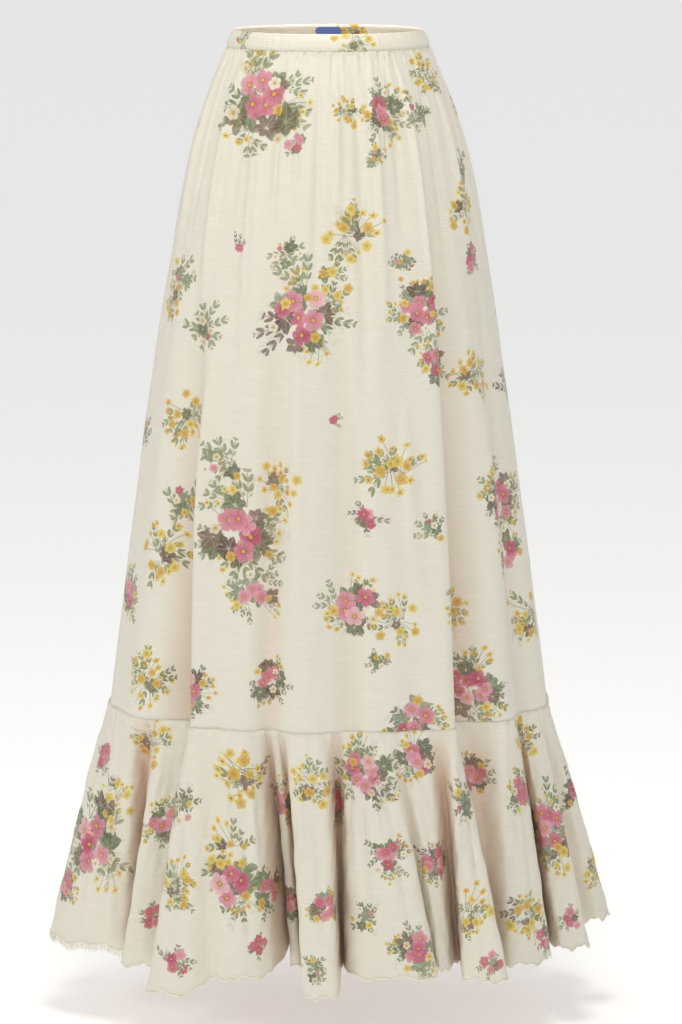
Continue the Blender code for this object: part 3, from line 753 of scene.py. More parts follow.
# recipe; turn of the ruffle; share of the way from the seam to the hem; size.
RUFFLE_BUNCHES = (
    ("trio", 0.85, 0.22, 1.1), ("bouquet", 0.95, 0.55, 1.30), ("yellow", 1.55, 0.38, 0.9),
    ("posy", 0.40, 0.78, 0.8), ("yellow", 3.60, 0.10, 0.9), ("posy", 5.20, 0.42, 0.9),
    ("trio", 5.40, 0.80, 1.0), ("sprig", 8.80, 0.30, 1.0), ("yellow", 9.00, 0.60, 0.9),
    ("trio", 9.30, 0.88, 1.1), ("yellow", 12.90, 0.18, 1.15), ("posy", 12.50, 0.62, 1.25),
    ("yellow", 12.20, 0.48, 0.9), ("trio", 13.30, 0.86, 0.9), ("posy", 14.20, 0.66, 1.0),
    ("posy", 17.00, 0.30, 0.9), ("posy", 17.20, 0.72, 0.8), ("yellow", 21.30, 0.20, 0.9),
    ("posy", 21.60, 0.66, 0.8), ("sprig", 20.70, 0.88, 0.8), ("posy", 23.20, 0.30, 0.8),
    ("bouquet", 24.90, 0.16, 0.85), ("posy", 25.20, 0.50, 0.8), ("posy", 25.60, 0.88, 0.95),
    ("sprig", 24.50, 0.76, 0.8), ("posy", 28.90, 0.12, 0.9), ("posy", 29.60, 0.55, 0.9),
    ("yellow", 32.50, 0.72, 1.0), ("sprig", 33.00, 0.30, 1.0), ("trio", 33.30, 0.92, 0.9),
    ("posy", 34.80, 0.22, 0.9), ("yellow", 36.80, 0.80, 0.95), ("posy", 37.40, 0.30, 0.9),
    ("trio", 37.60, 0.92, 1.0), ("bouquet", 40.60, 0.48, 1.0), ("yellow", 41.30, 0.62, 0.9),
    ("yellow", 38.90, 0.10, 0.9), ("trio", 40.90, 0.88, 0.9), ("posy", 44.80, 0.40, 0.9),
    ("yellow", 45.20, 0.78, 0.9), ("bouquet", 48.60, 0.40, 0.95), ("yellow", 49.20, 0.75, 0.95),
    ("posy", 52.50, 0.20, 1.0), ("bouquet", 53.00, 0.62, 1.0), ("yellow", 54.80, 0.35, 0.9),
    ("posy", 56.80, 0.50, 0.95), ("trio", 57.20, 0.85, 1.0), ("bouquet", 60.70, 0.30, 1.0),
    ("yellow", 61.20, 0.70, 1.0), ("posy", 60.30, 0.86, 0.9), ("posy", 64.80, 0.45, 0.95),
    ("yellow", 65.20, 0.84, 0.9), ("yellow", 68.40, 0.25, 1.0), ("bouquet", 69.00, 0.62, 1.0),
    ("posy", 72.70, 0.40, 0.95), ("trio", 73.10, 0.80, 1.0), ("bouquet", 76.50, 0.45, 1.0),
    ("yellow", 77.20, 0.78, 1.0), ("posy", 80.60, 0.30, 0.95), ("yellow", 81.20, 0.70, 0.95),
)
# recipe; place round; way down the outside from 0 to 1, and up the inside from 1 to 2; size.
BAND_BUNCHES = (
    ("yellow", 0.290, 0.35, 0.75), ("yellow", 0.712, 1.60, 0.70), ("sprig", 0.085, 0.40, 0.50),
    ("trio", 0.620, 0.50, 0.70), ("sprig", 0.860, 0.50, 0.70),
)

prints = {}
for seed, (name, (points, sideways, downward)) in enumerate(PANELS.items()):
    prints[name] = Print(points, seed + 40)
    bunches = BAND_BUNCHES if name == "waistband" else BODY_BUNCHES
    bunches = RUFFLE_BUNCHES if name.startswith("ruffle") else bunches
    for recipe, across, down, size in bunches:
        if sideways[0, 0] <= across <= sideways[0, -1]:
            column = int(np.argmin(np.abs(sideways[0] - across)))
            row = int(np.argmin(np.abs(downward[:, column] - down)))
            plant(prints[name], row, column, recipe, size)
    print(name, prints[name].count, "stamps")

# %% [markdown]
# ## Colour and node helpers
#
# A material is a chain of nodes. One small function adds any node, sets it and links it. Most of
# the print is sums, and sums are hard to read as a list of nodes, so a small class lets a node's
# output be used like a number: adding two of them adds a Math node.

# %% Helpers for materials
def linear(code):
    """An sRGB hex colour as linear red, green, blue and alpha."""
    values = [int(code[place:place + 2], 16) / 255 for place in (1, 3, 5)]
    return (*[v / 12.92 if v <= 0.04045 else ((v + 0.055) / 1.055) ** 2.4 for v in values], 1.0)


def add_node(tree, kind, inputs=(), stops=(), **settings):
    """Add a node with its settings. inputs are (socket, value or wire); stops are a ramp's."""
    node = tree.nodes.new(kind)
    for name, value in settings.items():
        setattr(node, name, value)
    for name, value in inputs:
        if isinstance(value, Wire):
            tree.links.new(value.socket, node.inputs[name])
        else:
            node.inputs[name].default_value = value
    for number, (place, code) in enumerate(stops):
        elements = node.color_ramp.elements
        stop = elements[number] if number < 2 else elements.new(place)
        stop.position = place
        stop.color = linear(code)
    return node


class Wire:
    """A value on its way through a material, which can be used in sums like a number."""

    def __init__(self, tree, socket):
        self.tree, self.socket = tree, socket

    def math(self, operation, *others, **settings):
        inputs = list(enumerate((self, *others)))
        node = add_node(self.tree, "ShaderNodeMath", inputs, operation=operation, **settings)
        return Wire(self.tree, node.outputs[0])

    def __add__(self, other):
        return self.math("ADD", other)

    def __sub__(self, other):
        return self.math("SUBTRACT", other)

    def __mul__(self, other):
        return self.math("MULTIPLY", other)

    def __truediv__(self, other):
        return self.math("DIVIDE", other)

    def __pow__(self, other):
        return self.math("POWER", other)

    def __abs__(self):
        return self.math("ABSOLUTE")

    def under(self, limit, soft):
        """1 where this is under a limit and 0 above it, with a soft edge."""
        return ((self - limit) / -soft + 0.5).math("ADD", 0.0, use_clamp=True)

    def dice(self):
        """Three random numbers that depend on this one."""
        noise = add_node(
            self.tree, "ShaderNodeTexWhiteNoise", [("W", self)], noise_dimensions="1D"
        )
        parts = add_node(
            self.tree, "ShaderNodeSeparateColor", [("Color", Wire(self.tree, noise.outputs["Color"]))]
        )
        return [Wire(self.tree, socket) for socket in parts.outputs]

    def pick(self, *stops, interpolation="CONSTANT"):
        """The colour that a ramp gives for this value."""
        ramp = add_node(self.tree, "ShaderNodeValToRGB", [("Fac", self)], stops=stops)
        ramp.color_ramp.interpolation = interpolation
        return Wire(self.tree, ramp.outputs["Color"])


def new_material(name):
    """A new material with its node tree and its shader."""
    material = bpy.data.materials.new(name)
    material.use_nodes = True
    return material, material.node_tree, material.node_tree.nodes["Principled BSDF"]


def set_finish(tree, shader, colour, **constants):
    """Wire a colour into the shader, and set its other sockets to constants."""
    tree.links.new(colour.socket, shader.inputs["Base Color"])
    for socket, value in constants.items():
        shader.inputs[socket.replace("_", " ")].default_value = value


def set_bump(tree, shader, height, strength, distance):
    """Let a height disturb the light on the surface."""
    inputs = [("Height", height), ("Strength", strength), ("Distance", distance)]
    bump = add_node(tree, "ShaderNodeBump", inputs)
    tree.links.new(bump.outputs["Normal"], shader.inputs["Normal"])


def lay(ground, top, amount, blend="MIX"):
    """Lay one colour over another by an amount. Each is a wire, or a colour's hex code."""
    tree = next(value.tree for value in (ground, top, amount) if isinstance(value, Wire))
    mix = add_node(tree, "ShaderNodeMix", data_type="RGBA", blend_type=blend)
    for place, value in ((0, amount), (6, ground), (7, top)):
        if isinstance(value, Wire):
            tree.links.new(value.socket, mix.inputs[place])
        else:
            mix.inputs[place].default_value = linear(value) if isinstance(value, str) else value
    return Wire(tree, mix.outputs[2])


def stored(tree, name, parts=3):
    """The numbers that the mesh stores under a name, each as a wire."""
    source = add_node(tree, "ShaderNodeAttribute", attribute_name=name)
    split = add_node(
        tree, "ShaderNodeSeparateXYZ", [("Vector", Wire(tree, source.outputs["Vector"]))]
    )
    return [Wire(tree, socket) for socket in split.outputs][:parts]


def on_object(tree):
    """Where a point lies on its own object, as three wires in metres."""
    place = add_node(tree, "ShaderNodeTexCoord")
    parts = add_node(
        tree, "ShaderNodeSeparateXYZ", [("Vector", Wire(tree, place.outputs["Object"]))]
    )
    return [Wire(tree, socket) for socket in parts.outputs]


def noise(tree, x, y, scale, detail=2.0):
    """Cloudy values from 0 to 1 over two wires, centred on a half."""
    place = add_node(tree, "ShaderNodeCombineXYZ", [("X", x), ("Y", y)])
    cloud = add_node(
        tree, "ShaderNodeTexNoise",
        [("Vector", Wire(tree, place.outputs[0])), ("Scale", scale), ("Detail", detail)],
    )
    return Wire(tree, cloud.outputs["Fac"])


# %% [markdown]
# ## How each motif is drawn
#
# A flower is drawn by angle: the way round is cut in five, and each fifth bulges into a petal. A
# whorl of leaves is the same with six narrow ones of uneven length. A spray grows from a point
# at its foot: thin stems at even angles, each to its own length, with a floret or a bud at its
# end. Light streaks, veins and a dark eye keep them from looking cut out of paper.

# %% Flowers
TURNS = 1 / math.tau       # radians to turns
PRINT_STRENGTH = 0.90      # the ink is a little see-through on the cream cloth
PETALS = 5
PETAL_NOTCH, PETAL_BULGE, PETAL_RAGGED = 0.54, 0.40, 0.16    # radii: between petals; more; uneven
HEART_END, HEART_SOFT, HEART_STRENGTH = 0.50, 0.75, 0.62     # the darker middle of a flower
EYE_RADIUS, EYE_RING = 0.17, 0.19
GREEN_DARK, GREEN, SAGE, OLIVE = "#525C43", "#717D5B", "#9CA78C", "#84805A"
BROWN, MAUVE = "#6B4C42", "#8E6F68"
# Seeds from 0 are pinks, from 0.64 yellows, and from 0.84 creams.
PETAL_FACES = (
    (0.00, "#DE9AA8"), (0.10, "#D47A90"), (0.22, "#C9667F"), (0.34, "#E2A5B0"), (0.46, "#D68A98"),
    (0.56, "#EBBFC2"), (0.64, "#E6D26A"), (0.74, "#E1BE58"), (0.84, "#F1EBD8"), (0.94, "#E9DFC4"),
)
PETAL_HEARTS = (
    (0.00, "#C65577"), (0.10, "#B23A63"), (0.22, "#A22C58"), (0.34, "#CF6683"), (0.46, "#B8506B"),
    (0.56, "#D98C96"), (0.64, "#CCA83E"), (0.74, "#C08A34"), (0.84, "#CFC9A6"), (0.94, "#C4B383"),
)


def draw_bloom(tree, ground, name):
    """Lay five-petalled flowers over a ground colour."""
    x, y, seed = stored(tree, name)
    _, depth, lean = (seed * 91.7).dice()
    radius = (x * x + y * y) ** 0.5
    around = y.math("ARCTAN2", x) * TURNS + lean
    petal = abs((around * PETALS).math("FRACT") - 0.5) * 2
    ripple = noise(tree, x + seed * 40, y, 3.0) - 0.5
    bulge = (petal * petal * -1 + 1).math("MAXIMUM", 0.0) ** 0.5
    edge = bulge * PETAL_BULGE + PETAL_NOTCH + ripple * PETAL_RAGGED
    streak = noise(tree, around * 30, radius * 1.5 + depth * 9, 2.0) - 0.5
    near_edge = radius.under(0.9, 0.3)
    heart = (radius / edge).under(HEART_END, HEART_SOFT) * HEART_STRENGTH
    parting = petal.under(0.86, -0.16) * near_edge * 0.55
    shade = (heart + streak * near_edge * 1.5 + parting).math("ADD", 0.0, use_clamp=True)
    colour = lay(seed.pick(*PETAL_FACES), seed.pick(*PETAL_HEARTS), shade)
    colour = lay(colour, "#E2B23C", radius.under(EYE_RADIUS, 0.06))
    colour = lay(colour, "#8B5A2A", abs(radius - EYE_RING).under(0.035, 0.05) * 0.7)
    return lay(ground, colour, radius.under(edge, 0.05) * PRINT_STRENGTH)


# %% [markdown]
# ## Leaves
#
# A whorl is six leaves round a point. Each leaf gets its own length, lean and tone from its number,
# so no two whorls match. A leaf is as wide as a sine along it, with a pale midrib and side veins.

# %% Leaves
LEAFLETS = 6
LEAF_SHORTEST, LEAF_LONGER = 0.56, 0.42       # radii: the shortest leaf, and up to this much more
LEAF_WIDTH, LEAF_RAGGED = 0.25, 0.22
VEINS, VEIN_SLANT = 6, 14
LEAF_LIGHTS = (
    (0.00, SAGE), (0.16, GREEN), (0.28, "#8A9776"), (0.42, GREEN_DARK),
    (0.50, BROWN), (0.62, MAUVE), (0.78, "#7D6156"), (0.90, "#857A5C"),
)
LEAF_DARKS = (
    (0.00, GREEN), (0.16, GREEN_DARK), (0.50, "#4E3833"), (0.62, BROWN), (0.90, "#5C543D"),
)


def draw_leaves(tree, ground, name):
    """Lay whorls of six pointed leaves over a ground colour."""
    x, y, seed = stored(tree, name)
    radius = (x * x + y * y) ** 0.5
    around = (y.math("ARCTAN2", x) * TURNS + 0.5) * LEAFLETS
    reach, lean, tone = (around.math("FLOOR") + seed * 57.0 + 0.5).dice()
    away = (around.math("FRACT") - 0.5 + (lean - 0.5) * 0.22) * (math.tau / LEAFLETS)
    length = reach * LEAF_LONGER + LEAF_SHORTEST
    along = radius / length
    sideways = away.math("SINE") * radius
    wave = noise(tree, x * 3 + seed * 30, y * 3, 2.4) - 0.5
    bow = ((along.math("MINIMUM", 1.0) ** 1.35) * math.pi).math("SINE")
    wide = bow * LEAF_WIDTH + wave * LEAF_RAGGED
    inside = abs(sideways).under(wide, 0.035) * radius.under(length, 0.03)
    mottle = noise(tree, x * 2 + seed * 11, y * 2, 5.0, 4.0) - 0.42
    shade = mottle * 2.2 + sideways.under(0.0, 0.03) * 0.35 + tone * 0.3
    colour = lay(
        seed.pick(*LEAF_LIGHTS), seed.pick(*LEAF_DARKS), shade.math("ADD", 0.0, use_clamp=True)
    )
    veins = (along * VEINS - abs(sideways) * VEIN_SLANT).math("FRACT")
    side_vein = abs(veins - 0.5).under(0.06, 0.1) * 0.4
    midrib = abs(sideways).under(0.012, 0.014) * 0.8
    colour = lay(colour, "#B9BC96", side_vein.math("MAXIMUM", midrib))
    return lay(ground, colour, inside * PRINT_STRENGTH)


# %% [markdown]
# ## Sprays
#
# One function draws both kinds of spray, as they share their stems. A low seed gives yellow florets
# at the ends of the stems, and a high one gives pairs of small leaves all along them.

# %% Sprays
FLORETS = ((0.00, "#E5CE62"), (0.16, "#DFC252"), (0.30, "#E9D880"), (0.42, "#DDB44E"))
SMALL_LEAVES = ((0.50, "#8E9A76"), (0.67, "#6E7B55"), (0.80, "#8C8A5C"), (0.92, "#77605A"))
FOOT = 0.92                # radii, from a spray's foot to its middle
STEM_HALF = 0.017          # radii, half the width of a stem
LEAF_OUT, LEAF_HALF = 0.110, 0.098    # radii: a small leaf's middle beside its stem; half its width
PAIRS = 2.7                # pairs of small leaves in a radius
STEM_STEP = 0.34           # radians between two stems of a spray of florets
SPRIG_STEP_MORE = 0.22     # and this many more in a leafy sprig


def draw_spray(tree, ground, name):
    """Lay yellow florets on stems, or leafy sprigs, over a ground colour."""
    x, y, seed = stored(tree, name)
    rise = y + FOOT
    across = x + rise * rise * (seed - 0.5) * 0.35
    radius = (across * across + rise * rise) ** 0.5
    florets = seed.under(0.5, 0.001)
    step = florets * -SPRIG_STEP_MORE + (STEM_STEP + SPRIG_STEP_MORE)
    stems = across.math("ARCTAN2", rise) / step
    number = stems.math("ROUND")
    fan = abs(number).under(florets + 1.5, 0.1)
    reach, lean, tone = (number + seed * 83.0 + 0.5).dice()
    away = (stems - number + (lean - 0.5) * 0.4) * radius * step
    length = reach * 0.75 + 0.95
    shown = radius.under(length, 0.05) * fan
    stem = abs(away).under(STEM_HALF, 0.018) * shown
    pair = (radius * PAIRS + tone - abs(away) * 3.0).math("FRACT") - 0.5
    leaf = (abs(away) - LEAF_OUT) / LEAF_HALF
    leafy = (leaf * leaf + pair * pair * 8).under(1.0, 0.3) * shown * radius.under(0.45, -0.1)
    few = florets * tone.under(0.45, -0.1) * -1 + 1
    past = radius - length
    head = (away * away + past * past) ** 0.5
    frill = abs((away.math("ARCTAN2", past) * TURNS * 5).math("FRACT") - 0.5)
    flowers = head.under(frill * -0.14 + 0.20, 0.03) * fan * florets
    petals = lay(seed.pick(*FLORETS), "#C9963A", (tone * head * 9).under(0.35, 0.4) * 0.35)
    petals = lay(petals, "#A86A24", head.under(0.05, 0.04))
    colour = lay(ground, OLIVE, stem * (PRINT_STRENGTH * 0.85))
    colour = lay(colour, seed.pick((0.0, "#7F8A5A"), *SMALL_LEAVES), leafy * few * PRINT_STRENGTH)
    return lay(colour, petals, flowers * PRINT_STRENGTH)


MOTIFS = {"spray": draw_spray, "leaves": draw_leaves, "bloom": draw_bloom}

# %% [markdown]
# ## The cloth's finish
#
# The cloth is a thin plain weave of silk and cotton with slubs, thicker places in the weft that
# run level round the skirt. The yarns are too fine to show at this size, so the weave is drawn a
# little coarser than real, as a bump and a faint change of tone. The print sits on the outside.
# The inside is the back of the same cloth: the flowers show through it faintly, and its ground
# is painted a warmer peach, as painted shade for the light there, which has already been through
# cloth. Thin cloth glows a little, and silk has a soft sheen.

# %% Printed silk and cotton
# The inside's ground is the cream turned peach, as painted warm shade.
CLOTH_CREAM, CLOTH_INSIDE_PAINTED_WARM = "#E9E5D6", "#E6CDB6"
SLUB_LENGTH, SLUB_HEIGHT = 0.045, 0.0012      # metres
CRUMPLE_ACROSS, CRUMPLE_ALONG = 0.012, 0.030  # metres
WEAVE_STEP = 0.0016                           # metres, about four real yarns


def weave_height(tree):
    """The height of the weave and its slubs, from where the cloth lies in metres."""
    across, down = stored(tree, "cloth", 2)
    slubs = noise(tree, across / SLUB_LENGTH, down / SLUB_HEIGHT, 1.0, 3.0)
    crumple = noise(tree, across / CRUMPLE_ACROSS, down / CRUMPLE_ALONG, 1.0, 4.0)
    weave = (across * (math.tau / WEAVE_STEP)).math("SINE") * (
        down * (math.tau / WEAVE_STEP)
    ).math("SINE")
    return slubs, slubs * 0.8 + crumple * 0.9 + weave * 0.04


def printed_cloth(name, ground, show):
    """Printed silk and cotton. show is how strongly the print is seen, 1 on the outside."""
    material, tree, shader = new_material(name)
    slubs, height = weave_height(tree)
    hollow, seam = stored(tree, "shade", 2)
    thick_yarn = ((slubs - 0.55) * 3.0).math("ADD", 0.0, use_clamp=True)
    plain = lay(ground, "#FAF7EC", thick_yarn * 0.7)
    plain = lay(plain, "#D3CAB2", ((slubs * -1 + 0.44) * 2.0).math("ADD", 0.0, use_clamp=True) * 0.5)
    plain = lay(plain, "#FBF8EE", seam * 0.6)
    colour = plain
    for kind, copies in LAYERS.items():
        for number in range(copies):
            colour = MOTIFS[kind](tree, colour, f"{kind}{number}")
    colour = lay(plain, colour, show) if show < 1 else colour
    # painted shade: deep in the folds' hollows the colour is darkened and warmed, where shade falls
    colour = lay(colour, "#DDAF94", hollow * 0.70, blend="MULTIPLY")
    set_finish(tree, shader, colour, Roughness=0.52, Metallic=0.0, Sheen_Weight=0.25,
               Sheen_Roughness=0.4)
    set_bump(tree, shader, height, 0.6, 0.0015)
    return material


OUTSIDE = printed_cloth("Printed silk and cotton, outside", CLOTH_CREAM, 1.0)
INSIDE = printed_cloth("Printed silk and cotton, inside", CLOTH_INSIDE_PAINTED_WARM, 0.3)
print(len(OUTSIDE.node_tree.nodes), "nodes in the printed cloth")

# %% [markdown]
# ## Making the panels
#
# The grids become meshes. Beside the stamps, each point stores where it lies on the cloth, for
# the weave, and two shades: how deep it is in a fold, which sets the painted warm shade there, as
# light in a fold is warm and low, and how near it is to the sewn-down turning, which is doubled and
# so looks lighter.

# %% Cloth meshes
HOLLOW_SHADE_DEPTH = 0.030       # this far behind the folds' faces, the painted warm shade in a hollow is at its strongest
HOLLOW_TURN = 3            # the fourth turn of each fold of the ruffle
# a hollow of the ruffle this far behind its faces gets the full painted warm shade
RUFFLE_HOLLOW_SHADE_DEPTH = 0.065
START_OBJECTS = ("Cube", "Light", "Camera")    # what an empty Blender file starts with


def cloth_mesh(name, points):
    """A mesh from a grid of points, wound so that it faces outward."""
    rows, columns = points.shape[:2]
    index = np.arange(rows * columns).reshape(rows, columns)
    quads = np.stack((index[:-1, :-1], index[1:, :-1], index[1:, 1:], index[:-1, 1:]), axis=-1)
    mesh = bpy.data.meshes.new(name)
    mesh.from_pydata(points.reshape(-1, 3), [], quads.reshape(-1, 4))
    mesh.polygons.foreach_set("use_smooth", [True] * len(mesh.polygons))
    return mesh


def add_object(name, data):
    """Put a new object into the scene."""
    made = bpy.data.objects.new(name, data)
    bpy.context.scene.collection.objects.link(made)
    return made


def store(mesh, name, values, domain="POINT"):
    """Store three numbers for every point or every face corner of a mesh."""
    layer = mesh.attributes.new(name, "FLOAT_VECTOR", domain)
    layer.data.foreach_set("vector", np.ascontiguousarray(values, dtype=np.float32).ravel())


def painted_hollow_shade(name, points, sideways, downward):
    """How deep each point of a panel lies in a fold, from 0 on a face to 1, which sets the painted
    shade.
    """
    if name == "waistband":
        return np.zeros(points.shape[:2])
    if name.startswith("ruffle"):
        fold = (sideways // TURNS_A_FOLD).astype(int)
        rights, hollows = TURN_HEMS[2::TURNS_A_FOLD], TURN_HEMS[HOLLOW_TURN::TURNS_A_FOLD]
        next_lefts = np.roll(TURN_HEMS[::TURNS_A_FOLD], -1, axis=0)
        depths = np.linalg.norm(hollows - (rights + next_lefts) / 2, axis=1) / RUFFLE_HOLLOW_SHADE_DEPTH
        from_hollow = np.abs(sideways % TURNS_A_FOLD - HOLLOW_TURN)
        near = np.clip(1.15 - from_hollow, 0, 1) * np.clip(downward * 4 + 0.2, 0, 1)
        return near * np.clip(depths ** 2, 0, 1)[fold]
    deep = 0 * sideways
    for waist, seam, begins, height, _, width in LONG_FOLDS:
        middle = waist + (seam - waist) * downward / SEAM_DROP
        grown = np.clip((downward - begins) / (SEAM_DROP - begins), 0, 1)
        deep = deep - height / HOLLOW_SHADE_DEPTH * grown * bell(share_away(sideways, middle), width)
    return np.clip(deep, 0, 1)


def make_cloth(name, thick=CLOTH_THICK):
    """Build one panel from its grid and its stamps, and let it stand for its solid."""
    points, sideways, downward = PANELS[name]
    mesh = cloth_mesh(name, points)
    sheet_print = prints[name]
    for layer, corners in sheet_print.layers.items():
        store(mesh, layer, corners, "CORNER")
    flat = np.stack((sheet_print.across, sheet_print.down, 0 * sheet_print.down), axis=-1)
    store(mesh, "cloth", flat)
    hollow = painted_hollow_shade(name, points, sideways, downward)
    seam = 0 * hollow
    if name.startswith("body"):
        seam = np.clip(1 - (SEAM_DROP - downward) / (TUCK_SEAM_HEIGHT * 1.4), 0, 1) ** 0.5
    store(mesh, "shade", np.stack((hollow, seam, 0 * seam), axis=-1))
    mesh.materials.append(OUTSIDE)
    mesh.materials.append(INSIDE)
    piece = add_object(name + "_cloth", mesh)
    if thick:
        wall = piece.modifiers.new("thickness", "SOLIDIFY")
        wall.thickness = thick
        wall.offset = -1
        wall.use_even_offset = False
        wall.material_offset = 1
    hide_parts(name)
    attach(piece, "root")
    return piece


for start_object in [item for item in bpy.data.objects if item.name in START_OBJECTS]:
    bpy.data.objects.remove(start_object)
cloths = {name: make_cloth(name) for name in PANELS if name != "waistband"}
cloths["waistband"] = make_cloth("waistband", thick=0)
for name, piece in cloths.items():
    print(piece.name, len(piece.data.polygons), "faces")

# %% [markdown]
# ## Label, hem and stitches
#
# The label is a bare strip of blue woven ribbon, and its solid already has the right shape, so it
# only gets a material: a satin weave of fine polyester, which is a little glossy. The hem is rolled
# and stitched on most of its length. On one fold at the wearer's right the roll has come undone, and
# the weft shows as a loose fringe. Threads are bevelled curves, which are light and stay round.

# %% Woven label
LABEL_YARN = 0.0009        # metres, three real yarns, so that the weave shows


def woven_label():
    """Blue satin ribbon: fine level ribs that catch the light."""
    material, tree, shader = new_material("Woven polyester ribbon, blue")
    across, up, _ = on_object(tree)
    ribs = (up * (math.tau / LABEL_YARN)).math("SINE")
    twill = ((across + up * 2) * (math.tau / (LABEL_YARN * 2))).math("SINE")
    colour = lay("#4C66B0", "#8098D4", ribs * 0.3 + twill * 0.15 + 0.4)
    set_finish(tree, shader, colour, Roughness=0.42)
    set_bump(tree, shader, ribs, 0.4, 0.0002)
    return material


label_node = frame["nodes"]["label"]
label_node.material_slots[0].material = woven_label()

# %% [markdown]
# ## Threads
#
# Stitches and loose yarns are thinner than the grids can show. A curve with a round bevel needs
# only two or three points for each of them, and hundreds can share one piece.

# %% Thread
THREAD_SIDES = 1           # bevel steps: enough for a thread that is under a millimetre
TWIST_LENGTH = 0.004       # metres between two mottles of a thread
STITCH, STITCH_GAP, STITCH_LIFT = 0.0026, 0.0012, 0.0003


def thread_material(name, code, roughness):
    """Spun cotton thread: matt, with a fine twist that mottles its colour."""
    material, tree, shader = new_material(name)
    x, _, z = on_object(tree)
    twist = noise(tree, x / TWIST_LENGTH, z / TWIST_LENGTH, 1.0, 3.0)
    colour = lay(code, "#D5C9AE", (twist - 0.4) * 0.8)
    set_finish(tree, shader, colour, Roughness=roughness, Sheen_Weight=0.2)
    return material


THREAD = thread_material("Spun cotton thread, cream", "#F0EADA", 0.6)


def threads(name, paths, radius):
    """One piece of many threads, each along its own few points."""
    curve = bpy.data.curves.new(name, "CURVE")
    curve.dimensions = "3D"
    curve.bevel_depth = radius
    curve.bevel_resolution = THREAD_SIDES
    curve.resolution_u = 1
    curve.use_fill_caps = True
    for path in paths:
        spline = curve.splines.new("POLY")
        spline.points.add(len(path) - 1)
        spline.points.foreach_set("co", np.column_stack((path, np.ones(len(path)))).ravel())
    curve.materials.append(THREAD)
    piece = add_object(name, curve)
    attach(piece, "root")
    return piece


def way_along(line):
    """How far along a line each of its points lies."""
    return np.concatenate(((0.0,), np.cumsum(np.linalg.norm(np.diff(line, axis=0), axis=1))))


def point_at(line, way, spot):
    """The point that lies some way along a line."""
    return np.array([np.interp(spot, way, line[:, axis]) for axis in range(3)])


def stitches(line, outward):
    """Short dashes along a line of points, lifted a little off the cloth."""
    way = way_along(line)
    lifted = line + outward * STITCH_LIFT
    return [
        np.array([point_at(lifted, way, start + STITCH * part) for part in (0, 0.5, 1)])
        for start in np.arange(0, way[-1] - STITCH, STITCH + STITCH_GAP)
    ]


# %% [markdown]
# ## Where the threads go
#
# The hem's roll follows the last row of the ruffle's grid. Stitches are dashes along a row of a
# grid, lifted along the way it faces, so they sit on the cloth however it is folded.

# %% Hem, seam and band threads
HEM_ROLL = 0.0009          # metres, the radius of the rolled hem, and then of the threads
SEAM_THREAD, FINE_THREAD = 0.00022, 0.00020
LOOSE_SHARE = 0.18         # away from the frayed stretch, this share of the threads shows
FRINGE_FOLD = (0.0, 2.2)   # the turns where the hem has frayed
FRINGE_STEP = 0.0006       # metres between two loose threads

along_hem = {}
for name in ("ruffle_front", "ruffle_back"):
    along_hem[name] = [threads(name + "_hem", [PANELS[name][0][-1]], HEM_ROLL)]

seam_dashes, band_dashes = [], []
for name in ("body_front", "body_back"):
    points, _, downward = PANELS[name]
    row = int(np.argmin(np.abs(downward[:, 0] - (SEAM_DROP - TUCK_SEAM_HEIGHT))))
    facing = grid_normals(points)[row]
    seam_dashes += stitches(points[row], facing)
threads("seam_stitches", seam_dashes, SEAM_THREAD)

band_points, _, band_heights = PANELS["waistband"]
band_facing = grid_normals(band_points)
for height in (BAND_STITCH_HEIGHT / BAND_HEIGHT, 1 - BAND_STITCH_HEIGHT / BAND_HEIGHT):
    row = int(np.argmin(np.abs(band_heights[:BAND_PROFILE // 2, 0] - height)))
    band_dashes += stitches(band_points[row], band_facing[row])
band_stitches = threads("band_stitches", band_dashes, FINE_THREAD)


def fringe(points, turns, dice):
    """Loose threads that hang from the frayed stretch of the hem, and short ones elsewhere."""
    hem = points[-1]
    way = way_along(hem)
    paths = []
    for spot in np.arange(0, way[-1], FRINGE_STEP):
        turn = np.interp(spot, way, turns)
        frayed = FRINGE_FOLD[0] <= turn <= FRINGE_FOLD[1]
        if not frayed and dice.uniform() > LOOSE_SHARE:
            continue
        length = dice.uniform(0.006, 0.0095) if frayed else dice.uniform(0.001, 0.0032)
        start = point_at(hem, way, spot)
        tip = dice.normal(0, 0.10, 3) * length + (0, 0, -length)
        bend = dice.normal(0, 0.06, 3) * length
        paths.append(np.array((start, start + tip / 2 + bend, start + tip)))
    return paths


hem_dice = np.random.default_rng(31)
for name, pieces in along_hem.items():
    points, sideways, _ = PANELS[name]
    pieces.append(threads(name + "_fringe", fringe(points, sideways[0], hem_dice), FINE_THREAD))
print(len(seam_dashes), "seam stitches and", len(band_dashes), "band stitches")

# %% [markdown]
# ## Camera, light and floor
#
# A long lens from over four metres away looks a little down, so that the hem's folds and the
# inside of the waist both show. A pale room's light comes from all round, with one large soft
# lamp at the left and front to shape the folds, and a weaker one at the right. A very small one
# stands over the opening and keeps the inside of the waist as pale as light through thin cloth does.

# %% Stage
CAMERA_DISTANCE, CAMERA_DOWN = 4.7, math.radians(11)
CAMERA_TARGET = Vector((0.015, 0.0, -0.5766))
CAMERA_LENS = 137.7        # mm, on a 36 mm sensor
FLOOR_HEIGHT, FLOOR_HALF = -1.20, 30
ROOM_LIGHT = 0.38
FLOOR_GLOW = 0.41          # keeps the floor pale without lighting the cloth flat
WARM_WHITE = linear("#FFFAF2")[:3]


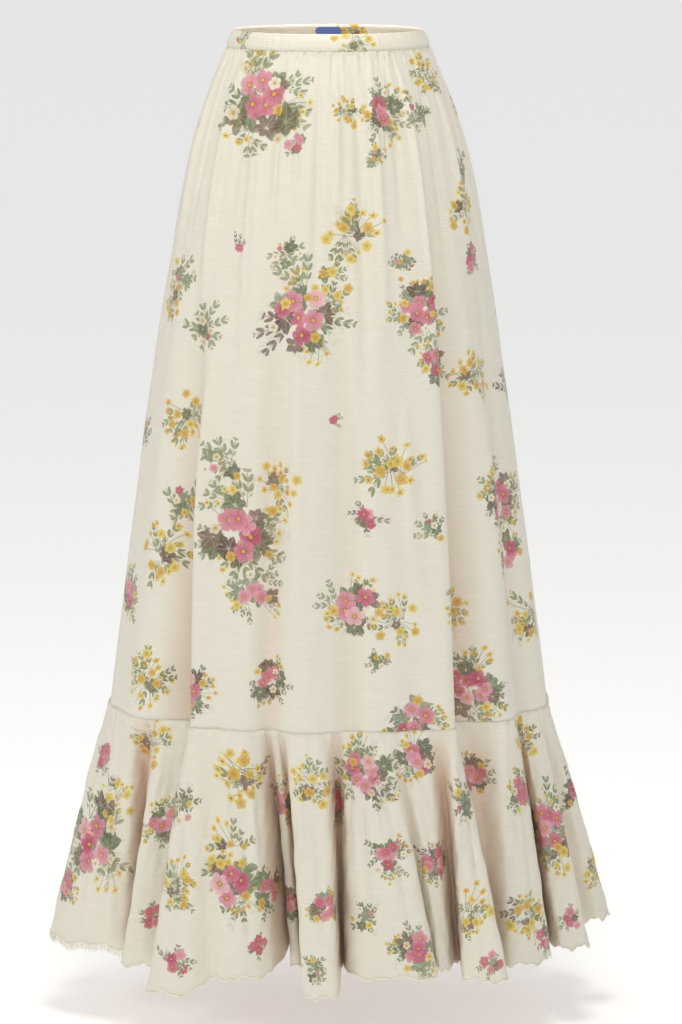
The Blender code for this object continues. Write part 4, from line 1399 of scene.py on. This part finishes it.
def add_lamp(name, place, size, power, aim=CAMERA_TARGET):
    """A square soft lamp that points at the skirt, and isn't seen itself."""
    light = bpy.data.lights.new(name, "AREA")
    light.size, light.energy, light.color = size, power, WARM_WHITE
    lamp = add_object(name, light)
    lamp.location = place
    lamp.rotation_euler = (Vector(aim) - Vector(place)).to_track_quat("-Z", "Y").to_euler()
    lamp.visible_camera = False


scene = bpy.context.scene
lens = bpy.data.cameras.new("long lens")
lens.lens = CAMERA_LENS
camera = add_object("camera", lens)
camera.location = CAMERA_TARGET + CAMERA_DISTANCE * Vector(
    (0, -math.cos(CAMERA_DOWN), math.sin(CAMERA_DOWN))
)
camera.rotation_euler = (CAMERA_TARGET - camera.location).to_track_quat("-Z", "Y").to_euler()
scene.camera = camera
add_lamp("key", (-2.6, -2.0, 1.2), 1.0, 22)
add_lamp("fill", (2.6, -1.8, 0.4), 2.0, 5)
add_lamp("above", (0.1, -0.9, 1.9), 0.8, 28)
add_lamp("in the waist", (0.0, -0.050, 0.10), 0.05, 0.22, aim=(0.0, 0.088, -0.010))

room = scene.world or bpy.data.worlds.new("pale room")
scene.world = room
room.use_nodes = True
background = room.node_tree.nodes["Background"]
background.inputs["Color"].default_value = linear("#FFFFFF")
background.inputs["Strength"].default_value = ROOM_LIGHT
scene.view_settings.view_transform = "Standard"

floor_mesh = bpy.data.meshes.new("floor")
floor_mesh.from_pydata(
    [(x * FLOOR_HALF, y * FLOOR_HALF, FLOOR_HEIGHT) for x, y in ((-1, -1), (1, -1), (1, 1), (-1, 1))],
    [], [(0, 1, 2, 3)],
)
floor = add_object("floor", floor_mesh)
paint, _, matt = new_material("Pale matt paint")
matt.inputs["Base Color"].default_value = linear("#FFFFFF")
matt.inputs["Roughness"].default_value = 0.9
matt.inputs["Emission Color"].default_value = linear("#FFFFFF")
matt.inputs["Emission Strength"].default_value = FLOOR_GLOW
floor_mesh.materials.append(paint)
lamps = [item.name for item in scene.objects if item.type == "LIGHT"]
print("camera", round(camera.location.length, 2), "m from the waist; lamps:", ", ".join(lamps))
